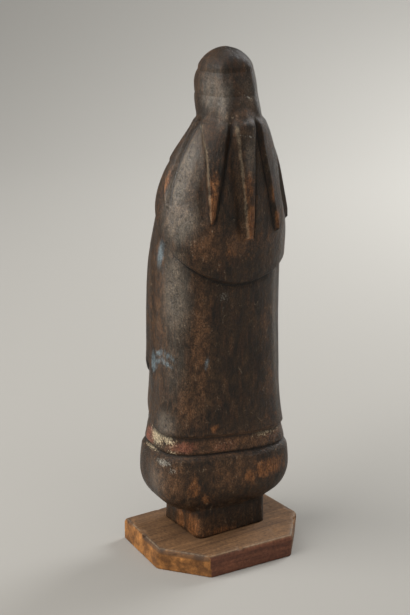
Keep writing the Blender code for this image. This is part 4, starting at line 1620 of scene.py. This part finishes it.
@dataclass
class SawnBoard:
    """The small board that the saint stands on, with its two back corners cut off."""

    node: str = "base_board"
    left_corner: tuple[float, float] = (0.0186, 0.0270)
    right_corner: tuple[float, float] = (0.0200, 0.0235)
    left_taper: float = 0.0040
    right_taper: float = 0.0016
    back_taper: float = 0.0030
    lean_degrees: float = 4.0
    arris_wear: float = 0.0011
    chip_growth: float = 1.4
    fillet: float = 0.0012
    voxel: float = 0.0006
    saw_line: float = 0.00007
    saw_tooth: float = 0.00009
    dent: float = 0.0003
    under_block: tuple[float, float] = (24.0, 12.0)
    seed: int = 5
    finish: SawnPine = field(default_factory=SawnPine)

    def cuts(self, half_width: float, half_depth: float) -> tuple[SawCut, ...]:
        """List the board's upright faces.

        Args:
            half_width: Half of the board's width.
            half_depth: Half of its depth.

        Returns:
            The faces, from the front round by the figure's left.
        """
        left_end = half_depth - self.left_corner[1]
        right_end = half_depth - self.right_corner[1]
        back_run = 2.0 * half_width - self.left_corner[0] - self.right_corner[0]
        back_left = (half_width - self.left_corner[0], half_depth - self.back_taper)
        left_cut = (self.left_corner[1] - self.back_taper, self.left_corner[0])
        back_right = (self.right_corner[0] - half_width, half_depth)
        return (
            SawCut((0.0, -half_depth), (0.0, -1.0), 0.0, 0.0),
            SawCut((half_width, left_end), (half_depth + left_end, -self.left_taper), 0.0, 1.0),
            SawCut(back_left, left_cut, self.lean_degrees, 1.0),
            SawCut(back_left, (self.back_taper, back_run), 0.0, 0.0),
            SawCut(back_right, (-self.right_corner[1], self.right_corner[0]), self.lean_degrees, 1.0),
            SawCut((-half_width, right_end), (-half_depth - right_end, -self.right_taper), 0.0, 1.0),
        )

    def build(self) -> bpy.types.Object:
        """Saw, wear and dress the board.

        Returns:
            The finished piece.
        """
        low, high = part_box(self.node)
        half_width, half_depth, thickness = (high.x - low.x) / 2.0, (high.y - low.y) / 2.0, high.z - low.z
        faces = self.cuts(half_width, half_depth)
        plank = bmesh.new()
        bmesh.ops.create_cube(plank, size=1.0)
        bmesh.ops.scale(plank, vec=(2.0 * half_width, 2.0 * half_depth, thickness), verts=plank.verts)
        bmesh.ops.translate(plank, vec=(0.0, 0.0, thickness / 2.0), verts=plank.verts)
        planes = []
        for cut in faces:
            tilt = math.radians(cut.lean_degrees)
            facing = Vector((*cut.facing, 0.0)).normalized()
            outward = Vector((facing.x, facing.y, -math.sin(tilt))).normalized()
            point = Vector((*cut.point, thickness))
            geometry = plank.verts[:] + plank.edges[:] + plank.faces[:]
            made = bmesh.ops.bisect_plane(
                plank, geom=geometry, plane_co=point, plane_no=outward, clear_outer=True, dist=1e-6
            )
            edges = [item for item in made["geom_cut"] if isinstance(item, bmesh.types.BMEdge)]
            bmesh.ops.holes_fill(plank, edges=edges, sides=0)
            planes.append((np.array(point), np.array(outward)))
        bmesh.ops.remove_doubles(plank, verts=plank.verts, dist=0.0001)
        bmesh.ops.recalc_face_normals(plank, faces=plank.faces)
        board = add_piece(plank, "sawn_board")
        voxels = board.modifiers.new("evenly_meshed", "REMESH")
        voxels.mode = "VOXEL"
        voxels.voxel_size = self.voxel
        settle(board)
        self.wear(board.data, planes, thickness)
        board.data.shade_smooth()
        self.mark(board.data, faces, planes, thickness)
        board.data.materials.append(self.finish.make())
        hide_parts(self.node)
        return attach(board, "root")

    def form(self, points: Array, planes: Planes, thickness: float) -> Array:
        """Measure from the board's worn surface, in metres, positive outside.

        Args:
            points: The points to measure from.
            planes: A point and the outward direction of each upright face.
            thickness: The board's thickness.

        Returns:
            Distances from the surface.
        """
        x, y, z = points.T / MILLIMETRE
        coarse = uneven(x / 7.0, y / 7.0, z / 7.0, self.seed)
        fine = uneven(x / 2.6, y / 2.6, z / 2.6, self.seed + 1)
        chips = ease(coarse + 0.5 * fine, 0.35, 1.1)
        sides = np.full(len(points), -1.0)
        for point, outward in planes:
            face = (points - point) @ outward
            sides = -blend(-sides, -face, self.fillet)
        worn = self.arris_wear * (1.0 + self.chip_growth * chips)
        top = points[:, 2] - thickness
        sloped = (top + sides) / math.sqrt(2.0) + worn
        edge = -blend(-np.maximum(top, sides), -sloped, self.fillet)
        return -blend(-edge, points[:, 2], 0.5 * self.fillet)

    def wear(self, mesh: bpy.types.Mesh, planes: Planes, thickness: float) -> None:
        """Round the arrises unevenly and leave saw marks, by moving the points onto the worn form.

        Args:
            mesh: The board's mesh.
            planes: A point and the outward direction of each upright face.
            thickness: The board's thickness.
        """
        points = read_points(mesh)
        step = 0.0002
        for _ in range(3):
            away = self.form(points, planes, thickness)
            slope = np.stack(
                [self.form(points + step * axis, planes, thickness) - away for axis in np.eye(3)], axis=1
            )
            slope /= np.linalg.norm(slope, axis=1, keepdims=True) + 1e-12
            points = points - slope * away[:, None]
        x, y, z = points.T / MILLIMETRE
        on_top = ease(slope[:, 2], 0.5, 0.9)
        lines = uneven(x / 40.0, y / 1.5, z / 9.0, self.seed + 2) * self.saw_line
        dents = ease(uneven(x / 5.0, y / 4.0, z / 5.0, self.seed + 3), 0.45, 0.95) * self.dent
        teeth = uneven((x + y) / 1.3, (x - y) / 30.0, z / 14.0, self.seed + 4) * self.saw_tooth
        marks = on_top * (lines + dents) + (1.0 - on_top) * teeth * ease(np.abs(slope[:, 2]), 0.6, 0.2)
        write_points(mesh, points - slope * marks[:, None])

    def mark(
        self, mesh: bpy.types.Mesh, faces: tuple[SawCut, ...], planes: Planes, thickness: float
    ) -> None:
        """Keep which face each point is on, and where it is stained and worn, for the finish to read.

        Args:
            mesh: The board's mesh.
            faces: The board's upright faces.
            planes: A point and the outward direction of each upright face.
            thickness: The board's thickness.
        """
        points = read_points(mesh)
        closest = np.stack([(points - point) @ outward for point, outward in planes], axis=1)
        nearest = closest.max(axis=1)
        on_side = ease(nearest, -0.0012, -0.0005) * ease(points[:, 2], thickness - 0.0003, thickness - 0.0016)
        end_grain = np.array([cut.end_grain for cut in faces])[closest.argmax(axis=1)]
        write_mark(mesh, "long_side", on_side * (1.0 - end_grain))
        write_mark(mesh, "end_grain", on_side * end_grain)
        x, y, z = points.T / MILLIMETRE
        patches = uneven(x / 13.0, y / 13.0, z / 5.0, self.seed + 6)
        under_top = ease(z, thickness / MILLIMETRE - 5.5, thickness / MILLIMETRE - 1.5)
        left_end = ease(x, 20.0, 30.0) * end_grain
        dark_band = on_side * end_grain * under_top * (0.35 + 0.65 * ease(y, 0.0, 14.0)) * left_end
        far_ends = on_side * end_grain * ease(x, 10.0, -10.0) * 0.8
        top_stain = (1.0 - on_side) * ease(patches, 0.1, 0.8) * 0.5
        from_top = thickness / MILLIMETRE - z
        ragged = uneven(x / 5.0, y / 5.0, z / 5.0, self.seed + 7)
        chewed = ease(nearest, -0.0030, -0.0012) * ease(from_top, 4.2, 1.2) * ease(ragged, -0.5, 0.5)
        # The top is made darker within 7 mm round the foot of the block.
        beside_block = np.maximum(np.abs(x) - self.under_block[0], 0.0)
        behind_block = np.maximum(np.abs(y) - self.under_block[1], 0.0)
        darker_round_block = 0.5 * ease(np.hypot(beside_block, behind_block), 7.0, 0.0) * (1.0 - on_side)
        stains = (dark_band, far_ends, top_stain, chewed * end_grain, darker_round_block)
        write_mark(mesh, "stained", np.maximum.reduce(stains))
        rim = close_to(nearest, -0.0011, 0.0006) * ease(from_top, 1.6, 0.0)
        write_mark(mesh, "worn_edge", rim)


@dataclass(frozen=True)
class Lamp:
    """A soft square lamp.

    Its bearing is in degrees round from the middle of the figure's back, positive towards the figure's left
    hand, its rise in degrees above the horizon, its distance, size and aim in metres and its power in watts.
    """

    name: str
    bearing: float
    rise: float
    distance: float
    size: float
    watts: float
    aim: Point = (0.0, 0.0, 0.15)
    colour: Point = (1.0, 0.985, 0.96)


@dataclass
class Studio:
    """A pale paper sweep, soft lamps and the camera where the photograph was taken from."""

    target: Point = (0.0209, 0.01735, 0.150)
    distance: float = 0.760
    azimuth: float = 147.0
    elevation: float = 18.0
    lens: float = 36.0 * 1452.0 / 615.0
    sweep_back: float = 1.0
    sweep_radius: float = 2.0
    sweep_steps: int = 32
    paper_front: float = 2.2
    paper_height: float = 3.4
    paper_width: float = 6.0
    air: float = 0.3
    air_colour: str = "#dad9d4"
    lamps: tuple[Lamp, ...] = (
        Lamp("key_softbox", 100.0, 38.0, 1.15, 1.1, 15.0),
        Lamp("top_softbox", 20.0, 75.0, 1.6, 1.5, 9.5),
        Lamp("right_fill", -75.0, 18.0, 1.5, 0.8, 1.5),
        Lamp("backdrop_softbox", -102.0, 30.0, 1.35, 0.6, 20.5, (-0.85, -0.82, 0.0), (0.97, 0.99, 1.0)),
    )
    paper: StudioPaper = field(default_factory=StudioPaper)

    def back(self) -> Vector:
        """Give the direction from the object to the camera."""
        turn, rise = math.radians(self.azimuth), math.radians(self.elevation)
        return Vector((math.sin(turn) * math.cos(rise), -math.cos(turn) * math.cos(rise), math.sin(rise)))

    def add_camera(self) -> None:
        """Add the camera at the photograph's viewing angle."""
        data = bpy.data.cameras.new("camera")
        data.lens = self.lens
        data.sensor_fit = "VERTICAL"
        data.sensor_height = 36.0
        camera = bpy.data.objects.new("camera", data)
        camera.location = Vector(self.target) + self.back() * self.distance
        camera.rotation_mode = "QUATERNION"
        camera.rotation_quaternion = self.back().to_track_quat("Z", "Y")
        bpy.context.scene.collection.objects.link(camera)
        bpy.context.scene.camera = camera

    def add_paper(self) -> bpy.types.Object:
        """Add the floor, which sweeps up behind the object.

        Returns:
            The paper.
        """
        away = -Vector((self.back().x, self.back().y, 0.0)).normalized()
        side = Vector((-away.y, away.x, 0.0))
        sheet = bmesh.new()
        profile = [(-self.paper_front, 0.0), (self.sweep_back, 0.0)]
        for step in range(1, self.sweep_steps + 1):
            turn = step / self.sweep_steps * math.pi / 2.0
            run = self.sweep_back + self.sweep_radius * math.sin(turn)
            profile.append((run, self.sweep_radius * (1.0 - math.cos(turn))))
        profile.append((self.sweep_back + self.sweep_radius, self.paper_height))
        middle = side * self.paper_width / 2.0
        row = [sheet.verts.new(away * run + Vector((0.0, 0.0, rise)) - middle) for run, rise in profile]
        edges = [sheet.edges.new(pair) for pair in zip(row, row[1:])]
        made = bmesh.ops.extrude_edge_only(sheet, edges=edges)
        moved = [item for item in made["geom"] if isinstance(item, bmesh.types.BMVert)]
        bmesh.ops.translate(sheet, vec=side * self.paper_width, verts=moved)
        bmesh.ops.recalc_face_normals(sheet, faces=sheet.faces)
        paper = add_piece(sheet, "paper_sweep")
        paper.data.shade_smooth()
        paper.data.materials.append(self.paper.make())
        return paper

    def add_lamp(self, lamp: Lamp) -> None:
        """Add a soft square lamp where its record says.

        Args:
            lamp: The lamp's record.
        """
        turn, up = math.radians(lamp.bearing), math.radians(lamp.rise)
        out = Vector((math.sin(turn) * math.cos(up), math.cos(turn) * math.cos(up), math.sin(up)))
        data = bpy.data.lights.new(lamp.name, "AREA")
        data.shape = "SQUARE"
        data.size = lamp.size
        data.energy = lamp.watts
        data.color = lamp.colour
        made = bpy.data.objects.new(lamp.name, data)
        made.location = Vector((0.0, 0.0, 0.15)) + out * lamp.distance
        made.rotation_mode = "QUATERNION"
        made.rotation_quaternion = (made.location - Vector(lamp.aim)).to_track_quat("Z", "Y")
        bpy.context.scene.collection.objects.link(made)

    def build(self) -> None:
        """Set up the paper, the lamps, the air and the camera."""
        self.add_paper()
        for lamp in self.lamps:
            self.add_lamp(lamp)
        world = bpy.data.worlds.new("studio_air")
        world.use_nodes = True
        air = world.node_tree.nodes["Background"]
        air.inputs["Color"].default_value = linear(self.air_colour)
        air.inputs["Strength"].default_value = self.air
        bpy.context.scene.world = world
        bpy.context.scene.view_settings.view_transform = "Standard"
        self.add_camera()


def report_piece(piece: bpy.types.Object) -> None:
    """Log a finished piece's name and how many triangles it has.

    Args:
        piece: The finished piece.
    """
    piece.data.calc_loop_triangles()
    log.info("%s: %d triangles", piece.name, len(piece.data.loop_triangles))


def main() -> None:
    """Build the board, the saint and the studio."""
    logging.basicConfig(level=logging.INFO, format="%(message)s")
    report_piece(SawnBoard().build())
    report_piece(CarvedSaint().build())
    Studio().build()


if __name__ == "__main__":
    main()
